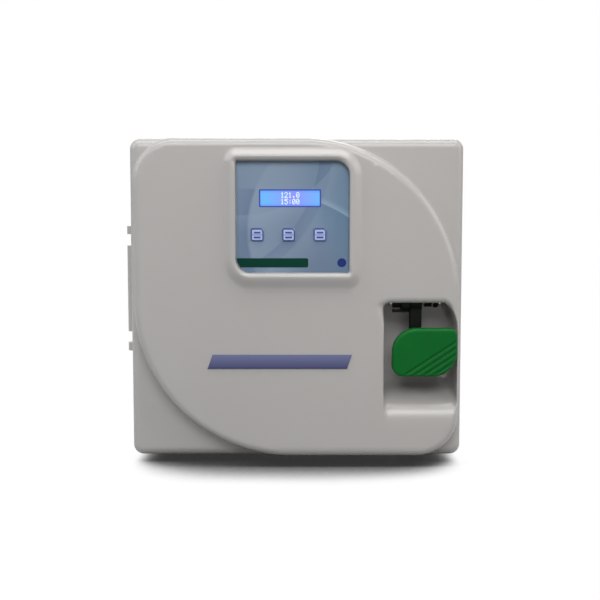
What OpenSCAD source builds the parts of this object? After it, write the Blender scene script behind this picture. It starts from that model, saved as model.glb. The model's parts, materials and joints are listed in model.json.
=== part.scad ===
// Benchtop steam autoclave with a side-hinged door, a lever handle and a 21 litre chamber.
// The frame: X to the right as seen from the front, Y to the back, Z up, origin under the middle.

/* [Door cover] */
// Width of the door
door_w = 380; // [372:1:392]
// Height of the door
door_h = 364; // [356:1:372]
// Gap between the door and the table
door_lift = 8; // [5:0.5:12]
// Depth of the door behind its corner plates
door_d = 60; // [58:0.5:66]
// Radius of the door's corners
door_corner_r = 12; // [8:0.5:16]
// Rounding of the corner plates' front edge
plate_edge_r = 6; // [3:0.5:8]
// How far the leaf stands out of the corner plates
leaf_step = 24; // [22:0.5:28]
// Gap from the leaf to the door's side
leaf_inset_x = 7; // [5:0.5:9]
// Gap from the leaf to the door's top and bottom
leaf_inset_z = 3; // [1:0.5:5]
// Radius of the leaf's two wide corners
leaf_big_r = 176; // [120:1:176]
// Radius of the leaf's two tight corners
leaf_small_r = 47; // [40:1:60]
// Rounding of the leaf's front edge
leaf_edge_r = 9; // [6:0.5:10]
// Wall of the moulded cover
cover_t = 3; // [2.5:0.1:4]
// Wall of the leaf's flank
flank_t = 5; // [4.5:0.1:6]

/* [Control panel] */
// Width of the panel
panel_w = 125.6; // [120:0.2:130]
// Height of the panel
panel_h = 123.7; // [118:0.2:128]
// Middle of the panel to the right of the door's middle
panel_x = -4.3; // [-10:0.1:2]
// Middle of the panel above the door's middle
panel_z = 92.6; // [88:0.1:95]
// Radius of the panel's two wide corners
panel_big_r = 16; // [10:0.5:22]
// Radius of the panel's two tight corners
panel_small_r = 2.5; // [1:0.5:5]
// Width of the rim at the left
rim_left_w = 13.9; // [12:0.1:17]
// Width of the rim at the right
rim_right_w = 17; // [13:0.1:18]
// Width of the rim at the top and bottom
rim_top_w = 15; // [13:0.1:16]
// Height of the rim above the leaf
rim_rise = 6; // [4:0.5:8]
// Slope of the rim's inner wall, sideways
rim_slope = 2; // [1:0.5:6]
// Depth of the panel below the rim
panel_drop = 10; // [8:0.5:11]
// Thickness of the panel film
overlay_t = 1; // [0.6:0.1:1.2]
// Width of the display window
lcd_w = 66; // [60:0.5:70]
// Height of the display window
lcd_h = 17; // [14:0.5:20]
// Middle of the display to the left of the panel's middle
lcd_left = 2.9; // [0:0.1:6]
// Middle of the display above the panel's middle
lcd_up = 21.1; // [18:0.1:25]
// Side of a square key
key_s = 14; // [12:0.5:15]
// Space between key middles
key_pitch = 35; // [30:0.5:36]
// Middle key to the left of the panel's middle
key_left_shift = 4.5; // [2:0.1:7]
// Keys below the panel's middle
key_down = 19.4; // [17:0.1:25]
// How far a key stands out of the film
key_rise = 1.2; // [0.8:0.1:2]
// Travel of a key
key_travel = 0.5; // [0.3:0.05:0.6]
// Length of the badge strip
badge_w = 162; // [140:1:165]
// Height of the badge strip
badge_h = 16; // [12:0.5:20]
// Badge strip below the door's middle
badge_down = 69; // [60:0.5:90]

/* [Handle] */
// Width of the handle well
well_w = 82.8; // [80:0.2:88]
// Upper edge of the well below the door's middle
well_top = 3; // [2:0.5:5]
// Height of the well
well_h = 137.5; // [132:0.5:140]
// Depth of the well behind the leaf
well_d = 48; // [44:0.5:48]
// Width of the well's right wall at the leaf's side
well_margin = 1.9; // [1.5:0.1:3]
// Width of the grip
grip_w = 72.4; // [68:0.1:75]
// Height of the grip
grip_h = 54; // [50:0.5:58]
// Thickness of the grip
grip_t = 16; // [12:0.5:17]
// Upper edge of the grip below the well's upper edge
grip_drop = 28.6; // [26:0.2:32]
// How far the grip stands out of the leaf
grip_proud = 3; // [1:0.5:4]
// Width of the lever arm
lever_w = 14; // [10:0.5:16]
// Thickness of the lever arm
lever_t = 8; // [6:0.5:9]
// Radius of the latch shaft
shaft_r = 4.5; // [4:0.1:5]
// Thickness of the latch hook
hook_t = 8; // [6:0.5:9]
// Radius of the keeper pin
keeper_r = 4; // [3:0.1:4]

/* [Hinge] */
// Hinge axis outside the door's side
hinge_out = 3.3; // [3:0.1:4]
// Hinge axis in front of the door's back edge
hinge_in = 12; // [11.5:0.1:13]
// Middle of the hinge above the door's middle
hinge_z = 9.2; // [6:0.2:14]
// Outer radius of the hinge
hinge_r = 8.5; // [8:0.1:9]
// Radius of the hinge pin
hinge_pin_r = 3; // [2.5:0.1:3.5]
// Length of the barrel on the case
barrel_l = 102.2; // [84:0.2:106]
// Length of a bush between barrel and ear
bush_l = 13.2; // [10:0.2:16]
// Height of an ear on the door
ear_h = 9.5; // [8:0.1:12]

/* [Case] */
// Length of the cabinet shell
shell_l = 462; // [455:1:500]
// Sheet of the cabinet shell
shell_t = 1.2; // [1:0.1:1.6]
// Case edge inside the door's side
case_inset_x = 3; // [3:0.5:4]
// Case top below the door's top
case_inset_z = 5; // [3:0.5:7]
// Radius of the shell's top edges
shell_r = 16; // [12:0.5:20]
// Gap between the door and the front frame
door_gap = 3; // [2.5:0.1:4]
// Sheet of the front frame
frame_t = 2; // [1.5:0.1:2.5]
// Sheet of the base pan and the rear panel
pan_t = 1.5; // [1.2:0.1:2]
// Height of a foot
foot_h = 15; // [13:0.5:18]
// Radius of a foot
foot_r = 16; // [13:0.5:18]

/* [Chamber] */
// Inner radius of the chamber
chamber_r = 125; // [118:1:126]
// Inner depth of the chamber
chamber_d = 444; // [436:1:446]
// Wall of the chamber
chamber_t = 2; // [1.5:0.1:2.5]
// Inner radius of the dished end
crown_r = 250; // [220:1:300]
// Chamber axis to the right of the door's middle
chamber_x = -7; // [-9:0.5:-6]
// Chamber axis above the door's middle
chamber_z = -3; // [-5:0.5:3]
// Width of the flange ring
flange_w = 15; // [13:0.5:15]
// Thickness of the flange ring
flange_t = 12; // [8:0.5:13]
// Thickness of the lid
lid_t = 8; // [7:0.5:9]
// Thickness of the insulation
insulation_t = 18.5; // [15:0.5:19]
// Half the width between the rack's side plates
rack_half_w = 86; // [80:0.5:88]
// Space between tray ledges
tray_pitch = 50; // [46:1:52]
// Height of a tray
tray_h = 15; // [12:0.5:20]
// Depth of a tray
tray_d = 350; // [300:1:360]

/* [Clearances] */
// Radial clearance of a shaft in its bore
run = 0.05; // [0.02:0.01:0.1]
// Clearance of fixed fits
fit = 0.2; // [0.1:0.05:0.3]
// Clearance between faces that move past each other
slide = 0.3; // [0.3:0.05:0.5]

/* [Hidden] */
$fn = 64;
eps = 0.01;
past = 1;

// Levels along Y, measured from the face of the corner plates
leaf_y = -leaf_step;
rim_y = leaf_y - rim_rise;
overlay_y = rim_y + panel_drop;
floor_y = overlay_y + overlay_t;
pad_t = 3;
pad_y = floor_y + pad_t;
well_y = leaf_y + well_d;
frame_y = door_d + door_gap;
shell_y = frame_y + frame_t;
rear_y = shell_y + shell_l;
rear_face_y = rear_y + pan_t;

// The door's outlines
leaf_w = door_w - 2 * leaf_inset_x;
leaf_h = door_h - 2 * leaf_inset_z;
rim_w = panel_w + rim_left_w + rim_right_w;
rim_shift = (rim_right_w - rim_left_w) / 2;
rim_h = panel_h + 2 * rim_top_w;
rim_big_r = panel_big_r + 12;
rim_small_r = panel_small_r + 8;
rim_edge_r = 5.5;

// The handle well, the lever and the latch
well_r = leaf_w / 2 - well_margin;
well_l = well_r - well_w;
well_bottom = -well_top - well_h;
scoop_r = 30;
scoop_turn = 68;
scoop_top = well_bottom + 53.5;
lip_r = 14;
lip_t = 5.3;
lip_top_r = 11;
shaft_y = leaf_y + 18;
shaft_z = -well_top + 2;
housing_r = 12;
housing_l = well_l + 10.7;
housing_end_r = 8.5;
housing_end_l = 9.5;
housing_foot_t = 3;
housing_foot_w = 8;
lever_l = well_l + 29.7;
lever_gap = 0.5;
hook_gap = 3;
hook_l = lever_l + lever_w + hook_gap;
hook_r = hook_l + hook_t;
ear_gap = 2.5;
ear_t = 4;
lever_boss_r = 10;
hook_boss_r = 7.5;
grip_gap = 0.9;
grip_r = well_r - grip_gap;
grip_l = grip_r - grip_w;
grip_top = -well_top - grip_drop;
grip_low = grip_top - grip_h;
grip_y = leaf_y - grip_proud;
grip_back = grip_y + grip_t;
lever_y = grip_back + fit;
grip_big_r = 27;
grip_small_r = 9;
grip_edge_r = 4;
groove_count = 4;
groove_angle = 33.3;
groove_pitch = 6;
groove_deep = 1.2;
groove_r = 1.7;
groove_edge = 8.1;

// The keeper pin as seen from the latch shaft, and the hook's reach past it
keeper_dy = 42;
keeper_dz = 60;
push_in = 14;
keeper_y = shaft_y + keeper_dy;
keeper_z = shaft_z + keeper_dz;
catch_y = keeper_dy * cos(push_in) + keeper_dz * sin(push_in);
catch_z = keeper_dz * cos(push_in) - keeper_dy * sin(push_in);
tip_y = catch_y + keeper_r + 0.7;
tip_t = 7;
tip_z = keeper_dz - keeper_r - 1;
hook_top = catch_z - keeper_r - 1;
hook_depth = 12;

// The hinge
hinge_x = -door_w / 2 - hinge_out;
hinge_y = door_d - hinge_in;
bush_r = hinge_pin_r + 1.2;
ear_low = barrel_l / 2 + bush_l + slide;
hinge_half = ear_low + ear_h;
ear_block = 12;
strap_t = 3;
strap_l = 70;

// The door's inner sheet, arm and lid
liner_t = 2;
liner_y = door_d - 2 * liner_t;
arm_y = well_y + cover_t + 1;
arm_t = 8;
arm_back = arm_y + arm_t;
arm_h = 36;
boss_l = 10;
lid_y = arm_back + boss_l;
lid_back = lid_y + lid_t;
flange_r = chamber_r + flange_w;
seal_y = door_d;
gasket_w = 10;
gasket_sink = 4;
gasket_r = chamber_r + flange_w / 2;
stud_r = 6;
nut_h = 8;
bracket_t = 4;
bracket_y = arm_y - bracket_t;
bracket_l = housing_l;
bracket_r = hook_r + ear_gap + ear_t;
hook_slot_l = hook_l - ear_gap;
hook_slot_r = hook_r + ear_gap;
bracket_top = keeper_z + 12;
keeper_wall = 2.5;
keeper_low = keeper_z + keeper_r + 3;
keeper_top = bracket_top + 12;
arm_pad_r = hook_slot_l - ear_t - 1.5;
hook_slot_top = keeper_z + 4;
hook_low = shaft_z - 15;

// The case
case_w = door_w - 2 * case_inset_x;
case_top = door_h / 2 - case_inset_z;
door_z = door_lift + door_h / 2;
case_low = foot_h - door_z;
lip_w = 14;
pan_w = case_w - 2 * shell_t - 2 * fit;
pan_wall_h = 22;
pan_top = case_low + pan_t;
foot_x = case_w / 2 - 37;
foot_front_y = shell_y + 60;
foot_back_y = rear_y - 50;
screw_r = 1.9;
screw_head_r = 3.8;
screw_head_t = 1.6;
screw_gap = 0.1;
press = 0.02;
foot_screw_r = 2.4;
foot_nut_r = 4.6;
foot_nut_h = 4;
foot_sink = 6;
foot_gap = 0.8;
inner_x = case_w / 2 - shell_t;

// The chamber
flange_y = seal_y + slide;
chamber_y = flange_y + flange_t;
crown_y = flange_y + chamber_d - crown_r;
chamber_or = chamber_r + chamber_t;
tube_end_y = crown_y + sqrt(crown_r * crown_r - chamber_r * chamber_r);
stub_r = 7;
stub_bore_r = 4;
stub_y = tube_end_y + 34;
probe_stub_y = stub_y + 6;
valve_up = 80;
drain_down = 90;
sensor_right = 70;
sensor_up = 30;
saddle_t = 3;
saddle_foot_l = 25;
saddle_front_y = chamber_y + 78;
saddle_back_y = tube_end_y - 80;
saddle_half_w = 100;
saddle_down = 70;
band_w = 60;
band_t = 3.8;
band_r = chamber_or + fit;
jacket_r = band_r + band_t + slide;
seam_w = 30;
jacket_front_y = chamber_y + 16;
rack_t = 1.5;
rack_front_y = chamber_y + 8;
rack_back_y = tube_end_y - 10;
ledge_w = 10;
rod_r = 3;
tray_y = rack_front_y + 12;
tray_back_y = tray_y + tray_d;
probe_r = 2;
probe_gap = 5;

// Screw places on the door's liner and on the case
boss_x = door_w / 2 - 14;
boss_z = door_h / 2 - 14;
boss_r = 5;
boss_places = [[-1, -1], [-1, 1], [1, -1], [1, 1]];
side_screw_ys = [shell_y + 55, shell_y + shell_l / 2, rear_y - 55];
side_screw_z = case_low + 12;
rear_screw_places = [
  [-case_w / 2 + 7, 60], [-case_w / 2 + 7, -90], [case_w / 2 - 7, 60], [case_w / 2 - 7, -90],
  [-90, case_top - 7], [90, case_top - 7]
];

// Places of the fittings on the rear panel
inlet_x = case_w / 2 - 69;
inlet_z = case_low + 46;
inlet_w = 27;
inlet_h = 19.5;
inlet_flange = [50, 26, 3];
inlet_d = 22;
switch_x = inlet_x + 40;
switch_w = 13;
switch_h = 20;
switch_lip = 1.5;
switch_d = 20;
rocker_w = 10.4;
rocker_half_h = 8.2;
rocker_tilt = 10;
fuse_x = inlet_x - 45;
fuse_gap = 26;
fuse_r = 6;
earth_x = fuse_x - 32;
earth_r = 2.5;
spigot_r = 5;
spigot_bore_r = 3;
spigot_l = 15;
spigot_nut_r = 9;
spigot_nut_l = 4;
spigot_lock_l = 5;
stem_r = 3;
ring_r = 7;
ring_wire_r = 1.2;
stem_out = 17;
vent_w = 4;
vent_l = 46;
vent_pitch = 11;
vent_count = 7;
vent_x = case_w / 2 - 77;

// The control board on the right wall
board_x = inner_x - 13.8;
board_t = 1.6;
board_in = 120;
board_y = shell_y + board_in;
board_l = 160;
board_h = 100;
board_low = pan_top + pan_wall_h;
relay = [18, 19, 16];
relay_pitch = 34;
relay_up = 74;
chip = [32, 16, 12];
chip_up = 30;
terminal = [120, 10, 14];
terminal_up = 8;
capacitor_r = 9;
capacitor_h = 20;
capacitor_in = 110;
capacitor_up = 45;
transformer_x = inner_x - 50.8;
transformer_y = rear_y - 106;

// The display, the keys and the board behind them
lcd_frame = 3;
lcd_back = pad_y + 4;
board_front = pad_y + 7;
key_stem_r = 3;
key_gap = 0.1;
key_stem_l = board_front - floor_y - 4;
key_xs = [-key_left_shift - key_pitch, -key_left_shift, -key_left_shift + key_pitch];
plunger_y = floor_y + key_stem_l + key_travel + key_gap;
post_x = panel_w / 2 - 10;
post_z = panel_h / 2 - 14;

// Bolts between arm, hinge leaf and latch bracket, and the cover's bosses on them
arm_bolt_places = [
  [-door_w / 2 + 40, chamber_z + 11], [-door_w / 2 + 40, chamber_z - 11],
  [bracket_l + 8, chamber_z + 13], [bracket_l + 22, chamber_z + 13]
];
leaf_boss_places = [[-door_w / 2 + 30, hinge_z + 48], [-door_w / 2 + 30, hinge_z - 48]];
bracket_boss_places = [[bracket_l + 7, bracket_top - 9], [bracket_l + 7, bracket_top - 35]];
boss_bite = 10;

// Screws of the hinge strap and of the keeper
strap_screw_y = hinge_y + strap_l - 12;
strap_screw_zs = [hinge_z - 34, hinge_z, hinge_z + 34];
keeper_mid_x = hook_l + hook_t / 2;
keeper_screw_places = [
  [keeper_mid_x, keeper_low + screw_head_r + 0.7],
  [keeper_mid_x, keeper_top - screw_head_r - 0.7]
];

// The trays' ledges, and the valves at the back
ledge_zs = [-tray_pitch - 12, -12, tray_pitch - 12];
valve_body_r = 9;
valve_half = 14;
valve_y = stub_y + 18;
stem_y = rear_face_y + stem_out;

// Where the part's box lies, for the origin under its middle
box_left = hinge_x - hinge_r;
box_right = door_w / 2;
box_front = rim_y;
box_back = stem_y + 2 * ring_r;

// Shapes along an axis
module along_y(y0, y1) {
  translate([0, y1, 0])
    rotate([90, 0, 0])
      linear_extrude(height = y1 - y0)
        children();
}

module along_x(x0, x1) {
  translate([x0, 0, 0])
    rotate([90, 0, 90])
      linear_extrude(height = x1 - x0)
        children();
}

module rod_y(r, y0, y1) {
  translate([0, y1, 0])
    rotate([90, 0, 0])
      cylinder(r = r, h = y1 - y0);
}

module rod_x(r, x0, x1) {
  translate([x0, 0, 0])
    rotate([0, 90, 0])
      cylinder(r = r, h = x1 - x0);
}

module rod_z(r, z0, z1) {
  translate([0, 0, z0])
    cylinder(r = r, h = z1 - z0);
}

module hex_y(r, y0, y1) {
  translate([0, y1, 0])
    rotate([90, 0, 0])
      cylinder(r = r, h = y1 - y0, $fn = 6);
}

module box(x0, x1, y0, y1, z0, z1) {
  translate([x0, y0, z0])
    cube([x1 - x0, y1 - y0, z1 - z0]);
}

module rounded_rect(w, h, r) {
  square([w - 2 * r, h], center = true);
  square([w, h - 2 * r], center = true);
  for (sx = [-1, 1], sz = [-1, 1])
    translate([sx * (w / 2 - r), sz * (h / 2 - r)])
      circle(r);
}

// A rectangle with two wide corners (upper right, lower left) and two tight ones
module leaf_outline(w, h, big, small) {
  difference() {
    square([w, h], center = true);
    for (s = [-1, 1]) {
      corner_cut(w, h, big, s, s);
      corner_cut(w, h, small, -s, s);
    }
  }
}

module corner_cut(w, h, r, sx, sz) {
  translate([sx * (w / 2 - r), sz * (h / 2 - r)])
    difference() {
      translate([sx > 0 ? 0 : -r - past, sz > 0 ? 0 : -r - past])
        square(r + past);
      circle(r, $fn = 128);
    }
}

// A block of that outline whose edge has the drawn profile: outline at x = 0, inside at x < 0
module profiled_leaf(w, h, big, small, inset, d) {
  linear_extrude(height = d)
    leaf_outline(w - 2 * inset, h - 2 * inset, big - inset, small - inset);
  for (turn = [0, 180])
    rotate(turn) {
      translate([w / 2 - big, h / 2 - big, 0])
        rotate_extrude(angle = 90)
          translate([big, 0])
            children();
      translate([small - w / 2, h / 2 - small, 0])
        rotate(90)
          rotate_extrude(angle = 90)
            translate([small, 0])
              children();
      translate([small - w / 2, h / 2, 0])
        rotate([90, 0, 90])
          linear_extrude(height = w - small - big)
            children();
      translate([-w / 2, big - h / 2, 0])
        rotate([90, 0, 180])
          linear_extrude(height = h - small - big)
            children();
    }
}

module round_edge(reach, d, edge_r) {
  translate([-reach, 0])
    square([reach, d - edge_r]);
  translate([-reach, 0])
    square([reach - edge_r, d]);
  translate([-edge_r, d - edge_r])
    intersection() {
      circle(edge_r);
      square(edge_r);
    }
}

// A leaf-shaped slab whose front edge is rounded, standing from y_front back to y_back
module soft_leaf(y_front, y_back, w, h, big, small, edge_r) {
  d = y_back - y_front;
  translate([0, y_back, 0])
    rotate([90, 0, 0])
      profiled_leaf(w, h, big, small, (edge_r + small) / 2, d)
        round_edge(small, d, edge_r);
}

// Everything is drawn round the door plate's middle and set down on the table here
module place() {
  translate([-(box_left + box_right) / 2, -(box_front + box_back) / 2, door_z])
    children();
}

module at_chamber() {
  translate([chamber_x, 0, chamber_z])
    children();
}

module at_hinge() {
  translate([hinge_x, hinge_y, hinge_z])
    children();
}

module at_shaft() {
  translate([0, shaft_y, shaft_z])
    children();
}

module at_panel() {
  translate([panel_x, 0, panel_z])
    children();
}

// Door cover
module door_outline(inset) {
  rounded_rect(door_w - 2 * inset, door_h - 2 * inset, door_corner_r - inset);
}

module panel_outline(grow) {
  leaf_outline(panel_w + 2 * grow, panel_h + 2 * grow, panel_big_r + grow, panel_small_r + grow);
}

module cover_shell() {
  difference() {
    union() {
      soft_leaf(0, door_d, door_w, door_h, door_corner_r, door_corner_r, plate_edge_r);
      soft_leaf(leaf_y, plate_edge_r, leaf_w, leaf_h, leaf_big_r, leaf_small_r, leaf_edge_r);
      at_panel()
        translate([rim_shift, 0, 0])
          soft_leaf(rim_y, leaf_y + leaf_edge_r, rim_w, rim_h, rim_big_r, rim_small_r, rim_edge_r);
    }
    along_y(cover_t, door_d + past)
      door_outline(cover_t);
    along_y(leaf_y + cover_t, cover_t + past)
      leaf_outline(
        leaf_w - 2 * flank_t, leaf_h - 2 * flank_t, leaf_big_r - flank_t, leaf_small_r - flank_t
      );
  }
}

// The well's side section: upright back, round scoop, floor that falls to the front
function scoop_point(grow, a) = [
  well_y - scoop_r + (scoop_r + grow) * cos(a),
  scoop_top - (scoop_r + grow) * sin(a)
];

// Height of the floor where it reaches a plane, from the scoop's end
function floor_z(grow, y) =
  scoop_point(grow, scoop_turn)[1] - (scoop_point(grow, scoop_turn)[0] - y) / tan(scoop_turn);

module well_section(grow, front_y, top_z) {
  polygon(concat(
    [[front_y, top_z], [well_y + grow, top_z]],
    [for (i = [0:8]) scoop_point(grow, i * scoop_turn / 8)],
    [[front_y, floor_z(grow, front_y)]]
  ));
}

module well_outline(grow) {
  translate([(well_l + well_r) / 2, (well_bottom - well_top) / 2])
    rounded_rect(well_w + 2 * grow, well_h + 2 * grow, 9 + grow);
}

module well_block() {
  intersection() {
    union() {
      along_x(well_l - cover_t, well_r + well_margin - past / 2)
        well_section(cover_t, leaf_y + leaf_edge_r, -well_top);
      along_x(well_l - cover_t, leaf_w / 2 - flank_t + past)
        well_section(cover_t, leaf_y + cover_t - past, -well_top);
    }
    along_y(leaf_y, arm_y)
      well_outline(cover_t);
  }
  along_x(well_l, leaf_w / 2 - flank_t + past)
    difference() {
      lip_sector(leaf_y + cover_t - past);
      translate(lip_mid())
        circle(lip_r - cover_t);
    }
}

module well_cut() {
  intersection() {
    along_x(well_l, well_r)
      union() {
        well_section(0, leaf_y - past, -well_top);
        translate([leaf_y + lip_t, -well_top - past])
          square([well_d - lip_t, past + housing_r]);
        lip_section();
      }
    along_y(leaf_y - past, arm_y)
      union() {
        well_outline(0);
        translate([well_l, -well_top - well_h / 2])
          square([well_w, well_h / 2 + housing_r]);
      }
  }
  difference() {
    along_x(well_l, well_r)
      translate([leaf_y - past, -well_top - past])
        square([past + lip_top_r, past + lip_top_r]);
    translate([0, leaf_y + lip_top_r, -well_top + lip_top_r])
      rod_x(lip_top_r, well_l - past, well_r + past);
  }
}

// The wide round edge over which the scoop's floor meets the leaf's front, and its middle
function lip_mid() = [leaf_y + lip_r, floor_z(0, leaf_y + lip_r) - lip_r / sin(scoop_turn)];

module lip_sector(front_y) {
  polygon([
    [front_y, lip_mid()[1]], lip_mid(),
    lip_mid() + lip_r * [-cos(scoop_turn), sin(scoop_turn)],
    [front_y, floor_z(0, front_y)]
  ]);
}

module lip_section() {
  difference() {
    lip_sector(leaf_y - past);
    translate(lip_mid())
      circle(lip_r);
  }
}

module panel_windows() {
  at_panel() {
    translate([-lcd_left, 0, lcd_up])
      along_y(floor_y - past, pad_y + past)
        square([lcd_w + 2 * lcd_frame + 2 * fit, lcd_h + 2 * lcd_frame + 2 * fit], center = true);
    for (x = key_xs)
      translate([x, 0, -key_down])
        rod_y(key_stem_r + slide, floor_y - past, pad_y + past);
  }
}

// The panel's pocket, wider at the front by the slope of its wall
module panel_pocket() {
  depth = panel_drop + overlay_t + past;
  translate([0, floor_y, 0])
    rotate([90, 0, 0])
      profiled_leaf(panel_w, panel_h, panel_big_r, panel_small_r, panel_small_r / 2, depth)
        polygon([[-panel_small_r, 0], [0, 0], [rim_slope, depth], [-panel_small_r, depth]]);
}

module hinge_cut() {
  at_hinge()
    rod_z(hinge_r + 1, -hinge_half - 1, hinge_half + 1);
  at_hinge()
    box(-hinge_r, hinge_out + cover_t + past, -hinge_r - 1, hinge_in + past, -hinge_half - 1, hinge_half + 1);
}

module door_cover() {
  color("gainsboro")
    difference() {
      union() {
        cover_shell();
        at_panel()
          along_y(leaf_y + cover_t - past, pad_y)
            panel_outline(rim_slope + 4);
        well_block();
        box(well_l, well_r, leaf_y + cover_t - past, leaf_y + lip_t, -well_top, -well_top + 2 * lip_top_r);
        for (p = boss_places)
          translate([p[0] * boss_x, 0, p[1] * boss_z])
            rod_y(boss_r, cover_t - past, liner_y);
        for (p = concat(leaf_boss_places, bracket_boss_places))
          translate([p[0], 0, p[1]])
            rod_y(boss_r, leaf_y + cover_t - past, bracket_y);
      }
      at_panel()
        panel_pocket();
      well_cut();
      panel_windows();
      hinge_cut();
      for (p = boss_places)
        translate([p[0] * boss_x, 0, p[1] * boss_z])
          rod_y(screw_r + fit, liner_y - 14, liner_y + past);
      for (p = concat(leaf_boss_places, bracket_boss_places))
        translate([p[0], 0, p[1]])
          rod_y(screw_r + fit, bracket_y - boss_bite - 2, bracket_y + past);
    }
}

// Door inside
module door_liner() {
  color("whitesmoke")
    difference() {
      along_y(liner_y, liner_y + liner_t)
        door_outline(cover_t + slide);
      at_chamber()
        rod_y(flange_r + 3, liner_y - past, door_d);
      box(
        hook_slot_l - ear_t - 2, hook_slot_r + ear_t + 2, liner_y - past, door_d,
        hook_low, keeper_top + 2
      );
      at_hinge()
        box(-hinge_r, ear_block + hinge_r, -hinge_r, hinge_in + past, -hinge_half - 1, hinge_half + 1);
      for (p = boss_places)
        translate([p[0] * boss_x, 0, p[1] * boss_z])
          rod_y(screw_r + fit, liner_y - past, door_d);
    }
}

// Screw with a flat round head whose underside is at y = 0, its shank to the front
module screw_front(r, shank, head_r, head_t) {
  rod_y(r, -shank, eps);
  rod_y(head_r, 0, head_t);
}

// Screw with its head at the front and its shank to the back
module screw_back(r, shank, head_r, head_t) {
  rod_y(r, -eps, shank);
  rod_y(head_r, -head_t, 0);
}

module door_screws() {
  color("silver") {
    for (p = boss_places)
      translate([p[0] * boss_x, liner_y + liner_t, p[1] * boss_z])
        screw_front(screw_r, 12, screw_head_r, screw_head_t);
    for (p = arm_bolt_places)
      translate([p[0], bracket_y, p[1]])
        screw_back(screw_r, bracket_t + arm_t, screw_head_r, screw_head_t);
    for (p = leaf_boss_places)
      translate([p[0], arm_y, p[1]])
        screw_front(screw_r, bracket_t + boss_bite, screw_head_r, screw_head_t);
    for (p = bracket_boss_places)
      translate([p[0], arm_back, p[1]])
        screw_front(screw_r, arm_t + bracket_t + boss_bite, screw_head_r, screw_head_t);
  }
}

module door_arm() {
  color("dimgray")
    difference() {
      union() {
        box(-door_w / 2 + 24, bracket_l, arm_y, arm_back, chamber_z - arm_h / 2, chamber_z + arm_h / 2);
        box(bracket_l - 10, arm_pad_r, arm_y, arm_back, chamber_z - arm_h / 2, bracket_top);
      }
      at_chamber()
        rod_y(stud_r + fit, arm_y - past, arm_back + past);
      for (p = concat(arm_bolt_places, bracket_boss_places))
        translate([p[0], 0, p[1]])
          rod_y(screw_r + run, arm_y - past, arm_back + past);
    }
}

module door_hinge_leaf() {
  color("dimgray")
    difference() {
      union() {
        box(
          hinge_x + ear_block, -door_w / 2 + 60, bracket_y, arm_y,
          hinge_z - hinge_half, hinge_z + hinge_half
        );
        for (s = [0, 1])
          at_hinge()
            mirror([0, 0, s])
              hinge_ear();
      }
      at_hinge()
        rod_z(hinge_pin_r + run, -hinge_half - past, hinge_half + past);
      for (p = concat(arm_bolt_places, leaf_boss_places))
        translate([p[0], 0, p[1]])
          rod_y(screw_r + run, bracket_y - past, arm_y + past);
    }
}

// One ear of the door's hinge leaf, drawn from the hinge axis
module hinge_ear() {
  leaf_front = bracket_y - hinge_y;
  translate([0, 0, ear_low])
    linear_extrude(height = ear_h)
      union() {
        circle(hinge_r);
        polygon([
          [0, hinge_r * 0.7], [ear_block + 6, hinge_r * 0.7], [ear_block + 6, leaf_front],
          [ear_block - 3, leaf_front], [ear_block - 3, -hinge_r * 0.7], [0, -hinge_r * 0.7]
        ]);
      }
}

module pressure_lid() {
  color("silver")
    at_chamber()
      difference() {
        union() {
          rod_y(flange_r, lid_y, lid_back);
          rod_y(stud_r * 3, arm_back, lid_y + past);
          rod_y(flange_r - flange_w - 20, lid_y, lid_back + 3);
        }
        difference() {
          rod_y(gasket_r + gasket_w / 2, lid_back - gasket_sink, lid_back + past);
          rod_y(gasket_r - gasket_w / 2, lid_back - gasket_sink - past, lid_back + 2 * past);
        }
        rod_y(stud_r + run, arm_back - past, lid_y + 2);
      }
}

module lid_stud() {
  color("silver")
    at_chamber()
      rod_y(stud_r, arm_y - nut_h - 6, lid_y + 2);
}

module lid_nut() {
  color("silver")
    at_chamber()
      difference() {
        union() {
          rod_y(14, arm_y - 2, arm_y);
          hex_y(11, arm_y - 2 - nut_h, arm_y - 2 + eps);
        }
        rod_y(stud_r + run, arm_y - nut_h - 2 * past - 2, arm_y + past);
      }
}

module door_gasket() {
  color("orange")
    at_chamber()
      difference() {
        rod_y(gasket_r + gasket_w / 2 - fit, lid_back - gasket_sink + fit / 2, seal_y);
        rod_y(gasket_r - gasket_w / 2 + fit, lid_back - gasket_sink, seal_y + past);
      }
}

module latch_bracket() {
  color([0.06, 0.07, 0.06])
    difference() {
      union() {
        box(bracket_l, bracket_r, bracket_y, arm_y, shaft_z + 3, bracket_top);
        box(bracket_l, bracket_l + ear_t, shaft_y, arm_y, shaft_z + 3, shaft_z + housing_r);
        box(hook_slot_r, bracket_r, shaft_y, arm_y, shaft_z + 3, bracket_top);
        at_shaft() {
          rod_x(housing_end_r, housing_l, lever_l - lever_gap);
          rod_x(housing_r, housing_l + housing_end_l, lever_l - lever_gap);
          box(
            housing_l, lever_l - lever_gap, -housing_foot_w / 2, housing_foot_w / 2,
            -housing_r - housing_foot_t / 2, -housing_r + housing_foot_t / 2
          );
          rod_x(shaft_r + 4, hook_slot_r, bracket_r);
        }
        box(hook_slot_r, bracket_r, shaft_y - shaft_r, shaft_y + shaft_r + 2, shaft_z, shaft_z + 12);
      }
      at_shaft()
        rod_x(shaft_r + run, housing_l - past, bracket_r + past);
      box(hook_slot_l, hook_slot_r, bracket_y - past, arm_y + past, shaft_z, hook_slot_top);
      for (p = concat(arm_bolt_places, bracket_boss_places))
        translate([p[0], 0, p[1]])
          rod_y(screw_r + run, bracket_y - past, arm_y + past);
    }
}

// Control panel
module panel_overlay() {
  color([0.5, 0.57, 0.64])
    at_panel()
      difference() {
        along_y(overlay_y, floor_y)
          panel_outline(-fit);
        translate([-lcd_left, 0, lcd_up])
          along_y(overlay_y - past, floor_y + past)
            square([lcd_w, lcd_h], center = true);
        for (x = key_xs)
          translate([x, 0, -key_down])
            along_y(overlay_y - past, floor_y + past)
              square(key_s + 2 * slide, center = true);
      }
}

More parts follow.
